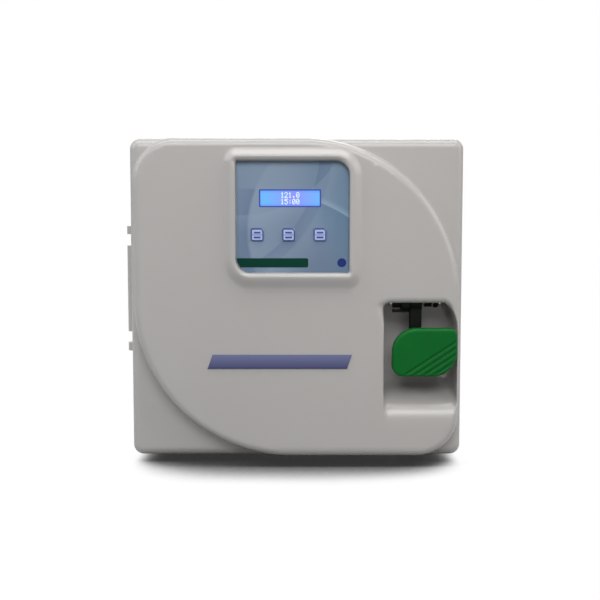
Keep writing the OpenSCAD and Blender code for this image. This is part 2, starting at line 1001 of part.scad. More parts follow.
module lcd_module() {
  color([0.44, 0.74, 0.99])
    at_panel()
      translate([-lcd_left, 0, lcd_up]) {
        along_y(floor_y, lcd_back)
          square([lcd_w + 2 * lcd_frame, lcd_h + 2 * lcd_frame], center = true);
        along_y(lcd_back - eps, lcd_back + board_t)
          square([lcd_w + 14, lcd_h + 18], center = true);
      }
}

module panel_board() {
  color("darkgreen")
    at_panel() {
      difference() {
        along_y(board_front, board_front + board_t)
          square([panel_w - 8, panel_h - 16], center = true);
        for (sx = [-1, 1], sz = [-1, 1])
          translate([sx * post_x, 0, sz * post_z])
            rod_y(screw_r + fit, board_front - past, board_front + board_t + past);
      }
      for (x = key_xs)
        translate([x, 0, -key_down]) {
          rod_y(1.7, plunger_y, board_front - 2);
          along_y(board_front - 2.5, board_front)
            square(6, center = true);
        }
    }
}

module board_posts() {
  color("goldenrod")
    at_panel()
      for (sx = [-1, 1], sz = [-1, 1])
        translate([sx * post_x, 0, sz * post_z]) {
          rod_y(3, pad_y, board_front);
          rod_y(screw_r, board_front - eps, board_front + board_t + eps);
          rod_y(3.4, board_front + board_t, board_front + board_t + 2);
        }
}

module badge_strip() {
  slant = badge_h * 0.35;
  color([0.3, 0.32, 0.42])
    along_y(leaf_y - 0.8, leaf_y)
      translate([panel_x - 14.5, -badge_down])
        polygon([
          [-badge_w / 2, -badge_h / 2], [badge_w / 2 - slant, -badge_h / 2],
          [badge_w / 2, badge_h / 2], [-badge_w / 2 + slant, badge_h / 2]
        ]);
}

module key_cap(index) {
  color([0.55, 0.62, 0.75])
    at_panel()
      translate([key_xs[index], 0, -key_down]) {
        along_y(overlay_y - key_rise, floor_y - key_travel - key_gap)
          rounded_rect(key_s, key_s, 2);
        rod_y(key_stem_r, floor_y - key_travel - 2 * key_gap, plunger_y - key_travel - key_gap);
      }
}

module key_left() {
  key_cap(0);
}

module key_middle() {
  key_cap(1);
}

module key_right() {
  key_cap(2);
}

// Handle
module latch_shaft() {
  color("silver")
    at_shaft() {
      rod_x(shaft_r, housing_l - 3, bracket_r + 3);
      rod_x(shaft_r + 2.5, housing_l - 3, housing_l - slide - 1);
      rod_x(shaft_r + 2.5, bracket_r + slide + 1, bracket_r + 3);
    }
}

module lever_arm() {
  arm_low = grip_top - grip_h * 0.62;
  color([0.06, 0.08, 0.06])
    difference() {
      along_x(lever_l, lever_l + lever_w)
        union() {
          translate([shaft_y, shaft_z])
            circle(lever_boss_r);
          translate([lever_y, arm_low])
            square([lever_t, shaft_z - arm_low]);
        }
      at_shaft()
        rod_x(shaft_r + press, lever_l - past, lever_l + lever_w + past);
    }
}

module handle_grip() {
  color([0.08, 0.38, 0.16])
    difference() {
      translate([(grip_l + grip_r) / 2, 0, (grip_low + grip_top) / 2])
        mirror([1, 0, 0])
          soft_leaf(grip_y, grip_back, grip_w, grip_h, grip_big_r, grip_small_r, grip_edge_r);
      intersection() {
        translate([(grip_l + grip_r) / 2, 0, (grip_low + grip_top) / 2])
          mirror([1, 0, 0])
            along_y(grip_y - past, grip_y + groove_r)
              leaf_outline(
                grip_w - 2 * grip_edge_r, grip_h - 2 * grip_edge_r,
                grip_big_r - grip_edge_r, grip_small_r - grip_edge_r
              );
        grip_grooves();
      }
    }
}

// Slanting grooves for the finger tips, at the lower right of the grip
module grip_grooves() {
  translate([grip_l + groove_edge, grip_y - groove_r + groove_deep, grip_low])
    rotate([0, -groove_angle, 0])
      for (i = [0:groove_count - 1])
        translate([0, 0, -i * groove_pitch])
          rod_x(groove_r, -grip_w, 2 * grip_w);
}

module latch_hook() {
  color("silver")
    at_shaft()
      difference() {
        along_x(hook_l, hook_r)
          union() {
            circle(hook_boss_r);
            polygon([
              [-hook_boss_r * 0.9, 2], [hook_boss_r * 0.9, -2], [16, hook_top - hook_depth],
              [tip_y + tip_t, hook_top - hook_depth], [tip_y + tip_t, tip_z], [tip_y, tip_z],
              [tip_y, hook_top], [3, hook_top]
            ]);
          }
        rod_x(shaft_r + press, hook_l - past, hook_r + past);
      }
}

// Case
module case_outline(inset) {
  w = case_w - 2 * inset;
  top = case_top - inset;
  r = shell_r - inset;
  translate([-w / 2, case_low])
    square([w, top - r - case_low]);
  translate([-w / 2 + r, case_low])
    square([w - 2 * r, top - case_low]);
  for (s = [-1, 1])
    translate([s * (w / 2 - r), top - r])
      circle(r);
}

module vent_slot() {
  square([vent_l - vent_w, vent_w], center = true);
  for (s = [-1, 1])
    translate([s * (vent_l - vent_w) / 2, 0])
      circle(vent_w / 2);
}

module cabinet_shell() {
  color("whitesmoke")
    difference() {
      along_y(shell_y, rear_y)
        case_outline(0);
      along_y(shell_y + shell_t, rear_y - shell_t)
        case_outline(shell_t);
      along_y(shell_y - past, rear_y + past)
        case_outline(lip_w);
      box(
        -case_w / 2 - past, case_w / 2 + past, shell_y - past, rear_y + past,
        case_low - past, case_low + 1
      );
      box(-inner_x, inner_x, shell_y - past, rear_y + past, case_low - past, pan_top + pan_wall_h + fit);
      for (i = [0:vent_count - 1], j = [0, 1])
        along_x(-case_w / 2 - past, case_w / 2 + past)
          translate([rear_y - 60 - j * (vent_l + 10), -100 + i * vent_pitch])
            vent_slot();
      for (y = side_screw_ys)
        translate([0, y, side_screw_z])
          rod_x(screw_r + screw_gap, -case_w / 2 - past, case_w / 2 + past);
      for (p = rear_screw_places)
        translate([p[0], 0, p[1]])
          rod_y(screw_r + screw_gap, shell_y - past, rear_y + past);
      for (z = strap_screw_zs)
        translate([0, strap_screw_y, z])
          rod_x(screw_r + screw_gap, -case_w / 2 - past, 0);
    }
}

module base_pan() {
  color("lightgray")
    difference() {
      box(-pan_w / 2, pan_w / 2, shell_y, rear_y, case_low, pan_top + pan_wall_h);
      box(-pan_w / 2 + pan_t, pan_w / 2 - pan_t, shell_y + pan_t, rear_y - pan_t, pan_top, case_top);
      at_feet()
        rod_z(foot_screw_r + fit, -past, 2 * foot_h);
      for (y = side_screw_ys)
        translate([0, y, side_screw_z])
          rod_x(screw_r + screw_gap, -case_w / 2, case_w / 2);
    }
}

module front_frame() {
  color("whitesmoke")
    difference() {
      along_y(frame_y, shell_y)
        case_outline(0);
      at_chamber()
        rod_y(flange_r + 1.5, frame_y - past, shell_y + past);
      box(
        chamber_x, hook_slot_r, frame_y - past, shell_y + past,
        hook_low, keeper_z - keeper_r - keeper_wall
      );
      for (p = rear_screw_places)
        translate([p[0], 0, p[1]])
          rod_y(screw_r + screw_gap, frame_y - past, shell_y + past);
      for (p = keeper_screw_places)
        translate([p[0], 0, p[1]])
          rod_y(screw_r + screw_gap, frame_y - past, shell_y + past);
    }
}

module rear_panel() {
  color("whitesmoke")
    difference() {
      along_y(rear_y, rear_face_y)
        case_outline(0);
      translate([inlet_x, 0, inlet_z])
        along_y(rear_y - past, rear_face_y + past)
          square([inlet_w + 2 * fit, inlet_h + 2 * fit], center = true);
      translate([switch_x, 0, inlet_z])
        along_y(rear_y - past, rear_face_y + past)
          square([switch_w + 2 * fit, switch_h + 2 * fit], center = true);
      for (s = [-1, 1])
        translate([fuse_x, 0, inlet_z + s * fuse_gap / 2])
          rod_y(fuse_r + fit, rear_y - past, rear_face_y + past);
      translate([earth_x, 0, inlet_z])
        rod_y(earth_r + fit, rear_y - past, rear_face_y + past);
      at_chamber() {
        translate([0, 0, valve_up])
          rod_y(valve_body_r + fit, rear_y - past, rear_face_y + past);
        translate([0, 0, -drain_down])
          rod_y(spigot_r + fit, rear_y - past, rear_face_y + past);
      }
      for (i = [0:vent_count - 1], s = [-1, 1])
        along_y(rear_y - past, rear_face_y + past)
          translate([s * vent_x, 20 + i * vent_pitch])
            vent_slot();
      for (p = rear_screw_places)
        translate([p[0], 0, p[1]])
          rod_y(screw_r + screw_gap, rear_y - past, rear_face_y + past);
    }
}

module at_feet() {
  for (x = [-foot_x, foot_x], y = [foot_front_y, foot_back_y])
    translate([x, y, -door_z])
      children();
}

module rubber_feet() {
  color([0.1, 0.1, 0.1])
    at_feet()
      difference() {
        cylinder(r1 = foot_r - 2, r2 = foot_r, h = foot_h);
        rod_z(foot_nut_r + foot_gap, -past, foot_sink);
        rod_z(foot_screw_r + fit, -past, foot_h + past);
      }
}

module case_screws() {
  color("silver") {
    at_feet() {
      rod_z(foot_screw_r, foot_sink - foot_nut_h / 2, foot_h + pan_t + foot_nut_h + 2);
      rod_z(foot_nut_r, foot_sink - foot_nut_h + past, foot_sink);
      difference() {
        translate([0, 0, foot_h + pan_t])
          cylinder(r = foot_nut_r, h = foot_nut_h, $fn = 6);
        rod_z(foot_screw_r + run, foot_h, foot_h + 2 * past + pan_t + foot_nut_h);
      }
    }
    for (y = side_screw_ys, s = [0, 1])
      mirror([s, 0, 0])
        translate([case_w / 2, y, side_screw_z]) {
          rod_x(screw_r, -8, eps);
          rod_x(screw_head_r, 0, screw_head_t);
        }
    for (p = rear_screw_places) {
      translate([p[0], rear_face_y, p[1]])
        screw_front(screw_r, 8, screw_head_r, screw_head_t);
      translate([p[0], frame_y, p[1]])
        screw_back(screw_r, 8, screw_head_r, screw_head_t);
    }
    for (z = strap_screw_zs)
      translate([-case_w / 2 - strap_t, strap_screw_y, z]) {
        rod_x(screw_r, -eps, 8);
        rod_x(screw_head_r, -screw_head_t, 0);
      }
    for (p = keeper_screw_places)
      translate([p[0], frame_y - ear_t, p[1]])
        screw_back(screw_r, 8, screw_head_r, screw_head_t);
  }
}

// Chamber
module vessel(r, sphere_r, y0) {
  intersection() {
    rod_y(r, y0, crown_y + sphere_r + past);
    union() {
      rod_y(sphere_r * 0.75, y0, tube_end_y - 30);
      translate([0, crown_y, 0])
        rotate([90, 0, 0])
          sphere(sphere_r, $fn = 128);
    }
  }
}

module stub_places() {
  translate([0, 0, valve_up])
    children();
  translate([0, 0, -drain_down])
    children();
  translate([sensor_right, 0, sensor_up])
    children();
}

module chamber() {
  color("silver")
    at_chamber()
      difference() {
        union() {
          vessel(chamber_or, crown_r + chamber_t, chamber_y);
          stub_places()
            rod_y(stub_r, tube_end_y, stub_y);
          rod_y(stub_r, tube_end_y, probe_stub_y);
        }
        vessel(chamber_r, crown_r, chamber_y - past);
        stub_places()
          rod_y(stub_bore_r, tube_end_y - past, stub_y + past);
        rod_y(stub_bore_r, tube_end_y - past, probe_stub_y + past);
      }
}

module chamber_flange() {
  color("silver")
    at_chamber()
      difference() {
        rod_y(flange_r, flange_y, chamber_y);
        rod_y(chamber_r, flange_y - past, chamber_y + past);
      }
}

module chamber_saddles() {
  color("gray")
    for (y = [saddle_front_y, saddle_back_y])
      difference() {
        union() {
          translate([chamber_x, y, pan_top])
            box(-saddle_half_w, saddle_half_w, 0, saddle_t, 0, chamber_z - saddle_down - pan_top);
          translate([chamber_x, y, pan_top])
            box(-saddle_half_w, saddle_half_w, 0, saddle_foot_l, 0, saddle_t);
        }
        at_chamber()
          rod_y(chamber_or + fit, y - past, y + saddle_foot_l + past);
      }
}

module heater_bands() {
  mid_y = (saddle_front_y + saddle_back_y) / 2;
  color("darkgoldenrod")
    at_chamber()
      for (y = [mid_y - band_w - 15, mid_y + 15])
        difference() {
          union() {
            rod_y(band_r + band_t, y, y + band_w);
            box(-11, 11, y + 10, y + band_w - 10, band_r - 4, band_r + 14);
          }
          rod_y(band_r, y - past, y + band_w + past);
          box(-5, 5, y - past, y + band_w + past, 0, band_r + 20);
        }
}

module insulation_jacket() {
  sections = [
    [jacket_front_y, saddle_front_y - slide],
    [saddle_front_y + saddle_t + slide, saddle_back_y - slide],
    [saddle_back_y + saddle_t + slide, tube_end_y]
  ];
  color("khaki")
    at_chamber()
      for (s = sections)
        difference() {
          rod_y(jacket_r + insulation_t, s[0], s[1]);
          rod_y(jacket_r, s[0] - past, s[1] + past);
          box(-seam_w / 2, seam_w / 2, s[0] - past, s[1] + past, 0, jacket_r + 2 * insulation_t);
          for (y = [saddle_front_y, saddle_back_y])
            box(
              -saddle_half_w - slide, saddle_half_w + slide, y - past, y + saddle_foot_l + slide,
              pan_top - chamber_z - past, pan_top - chamber_z + saddle_t + slide
            );
        }
}

module temperature_probe() {
  color("lightgray")
    at_chamber() {
      rod_y(probe_r, tray_back_y + probe_gap, probe_stub_y + 2);
      hex_y(9, probe_stub_y, probe_stub_y + 7);
    }
}

module safety_thermostat() {
  color("black")
    at_chamber()
      translate([0, saddle_back_y + 40, 0]) {
        rod_z(8, chamber_or + fit, chamber_or + 8);
        box(-6, 6, -1, 1, chamber_or + 7, chamber_or + 16);
      }
}

module tray_rack() {
  outer = rack_half_w + rack_t;
  low = -sqrt((chamber_r - slide) * (chamber_r - slide) - outer * outer);
  color("silver")
    at_chamber() {
      for (s = [0, 1])
        mirror([s, 0, 0]) {
          box(rack_half_w, outer, rack_front_y, rack_back_y, low, 72);
          for (z = ledge_zs)
            box(rack_half_w - ledge_w, rack_half_w + eps, rack_front_y, rack_back_y, z - rack_t, z);
        }
      for (p = [[rack_front_y + 10, -78], [rack_back_y - 10, -78], [rack_back_y - 10, 66]])
        translate([0, p[0], p[1]])
          rod_x(rod_r, -rack_half_w - eps, rack_half_w + eps);
    }
}

module tray(z) {
  half_w = rack_half_w - 2;
  wall = 1;
  color("silver")
    at_chamber()
      difference() {
        box(-half_w, half_w, tray_y, tray_back_y, z, z + tray_h);
        box(
          -half_w + wall, half_w - wall, tray_y + wall, tray_back_y - wall,
          z + wall, z + tray_h + past
        );
        for (i = [-2:2], j = [0:8])
          translate([i * 26, tray_y + tray_d * (j + 0.5) / 9, 0])
            rod_z(5, z - past, z + wall + past);
      }
}

module lower_tray() {
  tray(ledge_zs[0]);
}

module middle_tray() {
  tray(ledge_zs[1]);
}

module upper_tray() {
  tray(ledge_zs[2]);
}

// Hinge and keeper on the case
module hinge_bracket() {
  color("dimgray")
    difference() {
      union() {
        at_hinge()
          rod_z(hinge_r, -barrel_l / 2, barrel_l / 2);
        box(
          -case_w / 2 - strap_t, -case_w / 2, hinge_y, hinge_y + strap_l,
          hinge_z - barrel_l / 2, hinge_z + barrel_l / 2
        );
      }
      at_hinge()
        rod_z(hinge_pin_r + press, -barrel_l, barrel_l);
      for (z = strap_screw_zs)
        translate([0, strap_screw_y, z])
          rod_x(screw_r + screw_gap, -case_w, 0);
    }
}

module hinge_pin() {
  color("silver")
    at_hinge()
      rod_z(hinge_pin_r, -hinge_half - 1, hinge_half + 1);
}

module hinge_bushes() {
  color("goldenrod")
    at_hinge()
      for (s = [0, 1])
        mirror([0, 0, s])
          difference() {
            rod_z(bush_r, barrel_l / 2, barrel_l / 2 + bush_l);
            rod_z(hinge_pin_r + press, barrel_l / 2 - past, barrel_l);
          }
}

module keeper_bracket() {
  color("dimgray")
    difference() {
      union() {
        box(hook_slot_l - ear_t, hook_slot_r + ear_t, frame_y - ear_t, frame_y, keeper_low, keeper_top);
        for (x = [hook_slot_l - ear_t, hook_slot_r])
          box(
            x, x + ear_t, keeper_y - keeper_r - keeper_wall, frame_y,
            keeper_z - keeper_r - keeper_wall, keeper_top
          );
      }
      translate([0, keeper_y, keeper_z])
        rod_x(keeper_r + press, hook_slot_l - 2 * ear_t, hook_slot_r + 2 * ear_t);
      for (p = keeper_screw_places)
        translate([p[0], 0, p[1]])
          rod_y(screw_r + screw_gap, frame_y - ear_t - past, frame_y + past);
    }
}

module keeper_pin() {
  color("silver")
    translate([0, keeper_y, keeper_z])
      rod_x(keeper_r, hook_slot_l - ear_t, hook_slot_r + ear_t);
}

// Steam fittings
module exhaust_valve() {
  color("goldenrod")
    at_chamber()
      translate([0, 0, -drain_down])
        difference() {
          box(-valve_half, valve_half, stub_y, valve_y, -valve_half, valve_half);
          rod_y(stub_bore_r, stub_y - past, valve_y + past);
        }
}

module valve_coil() {
  color([0.12, 0.12, 0.14])
    at_chamber()
      translate([0, 0, -drain_down])
        box(-16, 16, stub_y + 2, valve_y, valve_half, valve_half + 36);
}

module drain_spigot() {
  color("goldenrod")
    at_chamber()
      translate([0, 0, -drain_down])
        difference() {
          union() {
            rod_y(spigot_r, valve_y, rear_face_y + spigot_lock_l + spigot_l);
            hex_y(spigot_nut_r, rear_y - spigot_nut_l, rear_y);
            hex_y(spigot_nut_r, rear_face_y, rear_face_y + spigot_lock_l);
          }
          rod_y(spigot_bore_r, valve_y - past, rear_face_y + spigot_lock_l + spigot_l + past);
        }
}

module safety_valve() {
  color("goldenrod")
    at_chamber()
      translate([0, 0, valve_up])
        difference() {
          union() {
            hex_y(12, stub_y, stub_y + 9);
            rod_y(valve_body_r, stub_y + 9 - eps, stem_y - 3);
          }
          rod_y(stem_r + run, stub_y + 20, stem_y);
          rod_y(stub_bore_r, stub_y - past, stub_y + 12);
        }
}

module valve_stem() {
  color("silver")
    at_chamber()
      translate([0, 0, valve_up]) {
        rod_y(stem_r, stub_y + 20 + slide, stem_y);
        translate([0, stem_y + ring_r - ring_wire_r, 0])
          rotate_extrude()
            translate([ring_r, 0])
              circle(ring_wire_r);
      }
}

module pressure_sensor() {
  color("gray")
    at_chamber()
      translate([sensor_right, 0, sensor_up]) {
        hex_y(11, stub_y, stub_y + 8);
        rod_y(8, stub_y + 8 - eps, rear_y - 2);
      }
}

// Electrics
module control_board() {
  color("darkgreen") {
    difference() {
      box(board_x, board_x + board_t, board_y, board_y + board_l, board_low, board_low + board_h);
      at_standoffs()
        rod_x(screw_r, -past, board_t + past);
    }
    for (i = [0:3])
      on_board(14 + i * relay_pitch, relay_up, relay);
    on_board(30, chip_up, chip);
    on_board((board_l - terminal[0]) / 2, terminal_up, terminal);
    translate([0, board_y + capacitor_in, board_low + capacitor_up])
      rod_x(capacitor_r, board_x - capacitor_h, board_x);
  }
}

// A component on the board's face: place along and up the board, then length, height and how far it stands out
module on_board(along, up, size) {
  box(
    board_x - size[2], board_x, board_y + along, board_y + along + size[0],
    board_low + up, board_low + up + size[1]
  );
}

module at_standoffs() {
  for (y = [board_y + 6, board_y + board_l - 6], z = [board_low + 6, board_low + board_h - 6])
    translate([board_x, y, z])
      children();
}

module board_standoffs() {
  color("goldenrod")
    at_standoffs() {
      rod_x(3, board_t, inner_x - board_x);
      rod_x(screw_r - run, -eps, board_t + eps);
      rod_x(3.4, -2, 0);
    }
}

module transformer() {
  color("dimgray")
    translate([transformer_x, transformer_y, pan_top]) {
      box(-30, 30, -24, 24, 0, 8);
      box(-23, 23, -26, 26, 8, 46);
    }
}

module power_inlet() {
  pin = [2, 4];
  color([0.08, 0.08, 0.08])
    translate([inlet_x, 0, inlet_z])
      difference() {
        union() {
          along_y(rear_face_y, rear_face_y + inlet_flange[2])
            square([inlet_flange[0], inlet_flange[1]], center = true);
          along_y(rear_face_y - inlet_d, rear_face_y + eps)
            square([inlet_w, inlet_h], center = true);
        }
        along_y(rear_face_y - inlet_d + 4, rear_face_y + inlet_flange[2] + past)
          square([inlet_w - 3, inlet_h - 3], center = true);
      }
  color("silver")
    translate([inlet_x, 0, inlet_z])
      for (p = [[-7, -2], [7, -2], [0, 2]])
        along_y(rear_face_y - inlet_d + 4, rear_face_y - 6)
          translate(p)
            square(pin, center = true);
}

module fuse_holders() {
  color([0.08, 0.08, 0.08])
    for (s = [-1, 1])
      translate([fuse_x, 0, inlet_z + s * fuse_gap / 2]) {
        rod_y(fuse_r, rear_y - 24, rear_face_y + eps);
        rod_y(fuse_r + 2.5, rear_face_y, rear_face_y + 3);
        rod_y(fuse_r - 0.5, rear_face_y + 3 - eps, rear_face_y + 9);
      }
}

module switch_housing() {
  color([0.08, 0.08, 0.08])
    translate([switch_x, 0, inlet_z])
      difference() {
        union() {
          along_y(rear_face_y, rear_face_y + switch_lip)
            square([switch_w + 4, switch_h + 4], center = true);
          along_y(rear_face_y - switch_d, rear_face_y + eps)
            square([switch_w, switch_h], center = true);
        }
        along_y(rear_face_y - 6, rear_face_y + switch_lip + past)
          square([rocker_w + 2 * slide, 2 * rocker_half_h + 2], center = true);
        translate([0, rear_face_y, 0])
          rod_x(1.5 + run, -switch_w / 2 + 0.4, switch_w / 2 - 0.4);
      }
}

module switch_rocker() {
  color([0.6, 0.08, 0.06])
    translate([switch_x, rear_face_y, inlet_z])
      rotate([rocker_tilt, 0, 0]) {
        along_x(-rocker_w / 2, rocker_w / 2)
          polygon([
            [0.5, -rocker_half_h], [4.5, -rocker_half_h], [3, 0], [4.5, rocker_half_h],
            [0.5, rocker_half_h], [-4, 2], [-4, -2]
          ]);
        rod_x(1.5, -switch_w / 2 + 0.5, switch_w / 2 - 0.5);
      }
}

module earth_stud() {
  color("goldenrod")
    translate([earth_x, 0, inlet_z]) {
      rod_y(earth_r, rear_y - 10, rear_face_y + 12);
      hex_y(4.6, rear_y - 4, rear_y);
      hex_y(4.6, rear_face_y, rear_face_y + 4);
    }
}

place() door_cover();
place() door_liner();
place() door_screws();
place() door_arm();
place() door_hinge_leaf();
place() pressure_lid();
place() lid_stud();
place() lid_nut();
place() door_gasket();
place() latch_bracket();
place() panel_overlay();
place() lcd_module();
place() panel_board();
place() board_posts();
place() badge_strip();
place() latch_shaft();
place() lever_arm();
place() handle_grip();
place() latch_hook();
place() key_left();
place() key_middle();
place() key_right();
place() base_pan();
place() cabinet_shell();
place() front_frame();
place() rear_panel();
place() rubber_feet();
place() case_screws();
place() chamber();
place() chamber_flange();
place() chamber_saddles();
place() heater_bands();
place() insulation_jacket();
place() temperature_probe();
place() safety_thermostat();
place() tray_rack();
place() lower_tray();
place() middle_tray();
place() upper_tray();
place() hinge_bracket();
place() hinge_pin();
place() hinge_bushes();
place() keeper_bracket();
place() keeper_pin();
place() exhaust_valve();
place() valve_coil();
place() drain_spigot();
place() safety_valve();
place() valve_stem();
place() pressure_sensor();
place() control_board();
place() board_standoffs();
place() transformer();
place() power_inlet();
place() fuse_holders();
place() switch_housing();
place() switch_rocker();
place() earth_stud();
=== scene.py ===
import json
import math

import bmesh
import bpy
import numpy as np
import openvdb
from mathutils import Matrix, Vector

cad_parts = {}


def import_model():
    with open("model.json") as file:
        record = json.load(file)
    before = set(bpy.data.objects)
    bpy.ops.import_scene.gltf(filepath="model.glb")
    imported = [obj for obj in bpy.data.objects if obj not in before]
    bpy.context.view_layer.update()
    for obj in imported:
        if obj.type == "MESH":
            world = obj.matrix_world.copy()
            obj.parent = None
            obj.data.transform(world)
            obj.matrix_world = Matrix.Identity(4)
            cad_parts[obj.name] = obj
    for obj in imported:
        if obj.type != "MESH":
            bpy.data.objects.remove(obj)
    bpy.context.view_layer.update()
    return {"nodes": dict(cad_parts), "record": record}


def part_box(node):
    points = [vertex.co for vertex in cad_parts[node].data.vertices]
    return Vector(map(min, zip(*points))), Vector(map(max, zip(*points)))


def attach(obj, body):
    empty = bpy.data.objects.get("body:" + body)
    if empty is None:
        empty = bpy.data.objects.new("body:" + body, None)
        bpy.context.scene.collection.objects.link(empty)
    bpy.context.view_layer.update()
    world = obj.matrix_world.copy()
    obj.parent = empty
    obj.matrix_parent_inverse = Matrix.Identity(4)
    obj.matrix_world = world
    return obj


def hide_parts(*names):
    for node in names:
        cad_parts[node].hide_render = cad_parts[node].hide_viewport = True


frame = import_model()
NODES = frame["nodes"]
MM = 0.001

# The CAD model is drawn round the middle of the door's plate: x to the right, y backwards from the
# plate's front, z up. Sizes below are in mm from there.
DOOR_D = 60.0
cover_lo, cover_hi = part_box("door_cover")
ORIGIN = Vector(
    ((cover_lo.x + cover_hi.x) / 2, cover_hi.y - DOOR_D * MM, (cover_lo.z + cover_hi.z) / 2)
)

# Sizes that the scene shares with the CAD model
PLATE_W, PLATE_H, PLATE_R = 380, 364, 12
LEAF_W, LEAF_H, LEAF_UP, LEAF_BIG_R, LEAF_SMALL_R = 366, 358, 1.5, 176, 47
LEAF_Y, RIM_Y, FLOOR_Y = -24.0, -30.0, -19.0
PANEL_X, PANEL_Z, PANEL_W, PANEL_H = -4.3, 92.6, 125.6, 123.7
LCD_X, LCD_Z, LCD_W, LCD_H = PANEL_X - 2.9, PANEL_Z + 21.1, 66.0, 17.0
WELL_L, WELL_R, WELL_TOP, WELL_LOW, WELL_Y = 98.3, 181.1, -3.0, -140.5, 24.0
HINGE_Y, HINGE_Z, HINGE_HALF = 48.0, 9.2, 74.1
SHAFT_Y, SHAFT_Z = -6.0, -1.0
BADGE_Z = -69


def world(x, y, z):
    """A place in the frame, in metres, from a place on the door in mm."""
    return ORIGIN + Vector((x, y, z)) * MM


# Shader nodes

def rgb(r, g, b):
    """Linear colour of an sRGB colour given in 0 to 255."""
    return tuple(
        ((c / 255 + 0.055) / 1.055) ** 2.4 if c > 10 else c / 255 / 12.92 for c in (r, g, b)
    )


def new_node(tree, kind, inputs=(), **settings):
    """A shader node with its settings and the constant values of its inputs."""
    node = tree.nodes.new("ShaderNode" + kind)
    for name, value in settings.items():
        setattr(node, name, value)
    for name, value in inputs:
        node.inputs[name].default_value = value
    return node


def links(tree, *pairs):
    for a, b in pairs:
        tree.links.new(a, b)


def figure(tree, operation, *values):
    """The result of one sum on sockets and numbers."""
    node = new_node(tree, "Math", operation=operation)
    for socket, value in zip(node.inputs, values):
        if isinstance(value, bpy.types.NodeSocket):
            tree.links.new(value, socket)
        else:
            socket.default_value = value
    return node.outputs[0]


def spread(tree, value, low, high, start=0.3, end=0.7):
    """A value between start and end, spread from low to high."""
    node = new_node(
        tree, "MapRange",
        (("From Min", start), ("From Max", end), ("To Min", low), ("To Max", high)),
    )
    tree.links.new(value, node.inputs[0])
    return node.outputs[0]


def noise(tree, scale, detail=2.0, stretch=(1, 1, 1)):
    coords = new_node(tree, "TexCoord")
    place = new_node(tree, "Mapping", (("Scale", stretch),))
    tex = new_node(tree, "TexNoise", (("Scale", scale), ("Detail", detail)))
    links(tree, (coords.outputs["Object"], place.inputs[0]), (place.outputs[0], tex.inputs[0]))
    return tex.outputs[0]


def blend_colors(tree, factor, a, b):
    node = new_node(tree, "Mix", data_type="RGBA")
    sockets = [s for s in node.inputs if s.type == "RGBA"]
    factor_in = [s for s in node.inputs if s.type == "VALUE"][0]
    for socket, value in ((factor_in, factor), (sockets[0], a), (sockets[1], b)):
        if isinstance(value, bpy.types.NodeSocket):
            tree.links.new(value, socket)
        elif isinstance(value, (int, float)):
            socket.default_value = value
        else:
            socket.default_value = (*value, 1)
    return [s for s in node.outputs if s.type == "RGBA"][0]


def seen_rays(tree):
    """1 for the rays by which the camera sees a thing, also mirrored or through glass, else 0."""
    path = new_node(tree, "LightPath")
    seen = figure(tree, "MAXIMUM", path.outputs["Is Camera Ray"], path.outputs["Is Glossy Ray"])
    return figure(tree, "MAXIMUM", seen, path.outputs["Is Transmission Ray"])


# Camera, light, floor

scene = bpy.context.scene
scene.view_settings.view_transform = "Standard"

CAMERA_X, CAMERA_FAR, CAMERA_UP, AIM_UP = 3.9, -1015.1, 75.0, -1.3
cam = bpy.data.objects.new("camera", bpy.data.cameras.new("camera"))
scene.collection.objects.link(cam)
scene.camera = cam
cam.data.sensor_width = 36.0
cam.data.lens = 53.4
cam.data.clip_end = 50
cam.location = world(CAMERA_X, CAMERA_FAR, CAMERA_UP)
aim = world(CAMERA_X, 0, AIM_UP) - cam.location
cam.rotation_euler = aim.to_track_quat("-Z", "Y").to_euler()


def soft_lamp(name, place, target, size, watts, color=(1, 1, 1)):
    lamp = bpy.data.objects.new(name, bpy.data.lights.new(name, "AREA"))
    lamp.data.shape = "RECTANGLE"
    lamp.data.size, lamp.data.size_y = size
    lamp.data.energy = watts
    lamp.data.color = color
    lamp.location = place
    toward = Vector(target) - Vector(place)
    lamp.rotation_euler = toward.to_track_quat("-Z", "Y").to_euler()
    scene.collection.objects.link(lamp)


soft_lamp("lamp_key", (0.0, -2.2, 1.5), (0, -0.25, 0.18), (1.8, 1.0), 33, (1.0, 0.995, 0.985))
soft_lamp("lamp_top", (0.0, -0.62, 1.9), (0, -0.4, 0.2), (2.4, 0.45), 22)
soft_lamp("lamp_left", (-1.9, -0.9, 1.3), (0, -0.2, 0.2), (1.2, 1.2), 12, (0.92, 0.97, 1.0))
soft_lamp("lamp_right", (1.9, -0.9, 1.0), (0, -0.2, 0.2), (1.0, 1.2), 11, (1.0, 0.98, 0.95))
soft_lamp("lamp_back", (0.2, 2.0, 1.5), (0, 0.2, 0.2), (1.4, 1.0), 18)

# The room looks white but lights the part only softly
studio = bpy.data.worlds.new("studio")
scene.world = studio
studio.use_nodes = True
tree = studio.node_tree
tree.nodes.clear()
out = new_node(tree, "OutputWorld")
soft = new_node(tree, "Background", (("Color", (0.96, 0.98, 1.0, 1)), ("Strength", 0.2)))
white = new_node(tree, "Background", (("Color", (1, 1, 1, 1)), ("Strength", 1.0)))
mix = new_node(tree, "MixShader")
links(
    tree,
    (seen_rays(tree), mix.inputs[0]),
    (soft.outputs[0], mix.inputs[1]),
    (white.outputs[0], mix.inputs[2]),
    (mix.outputs[0], out.inputs[0]),
)

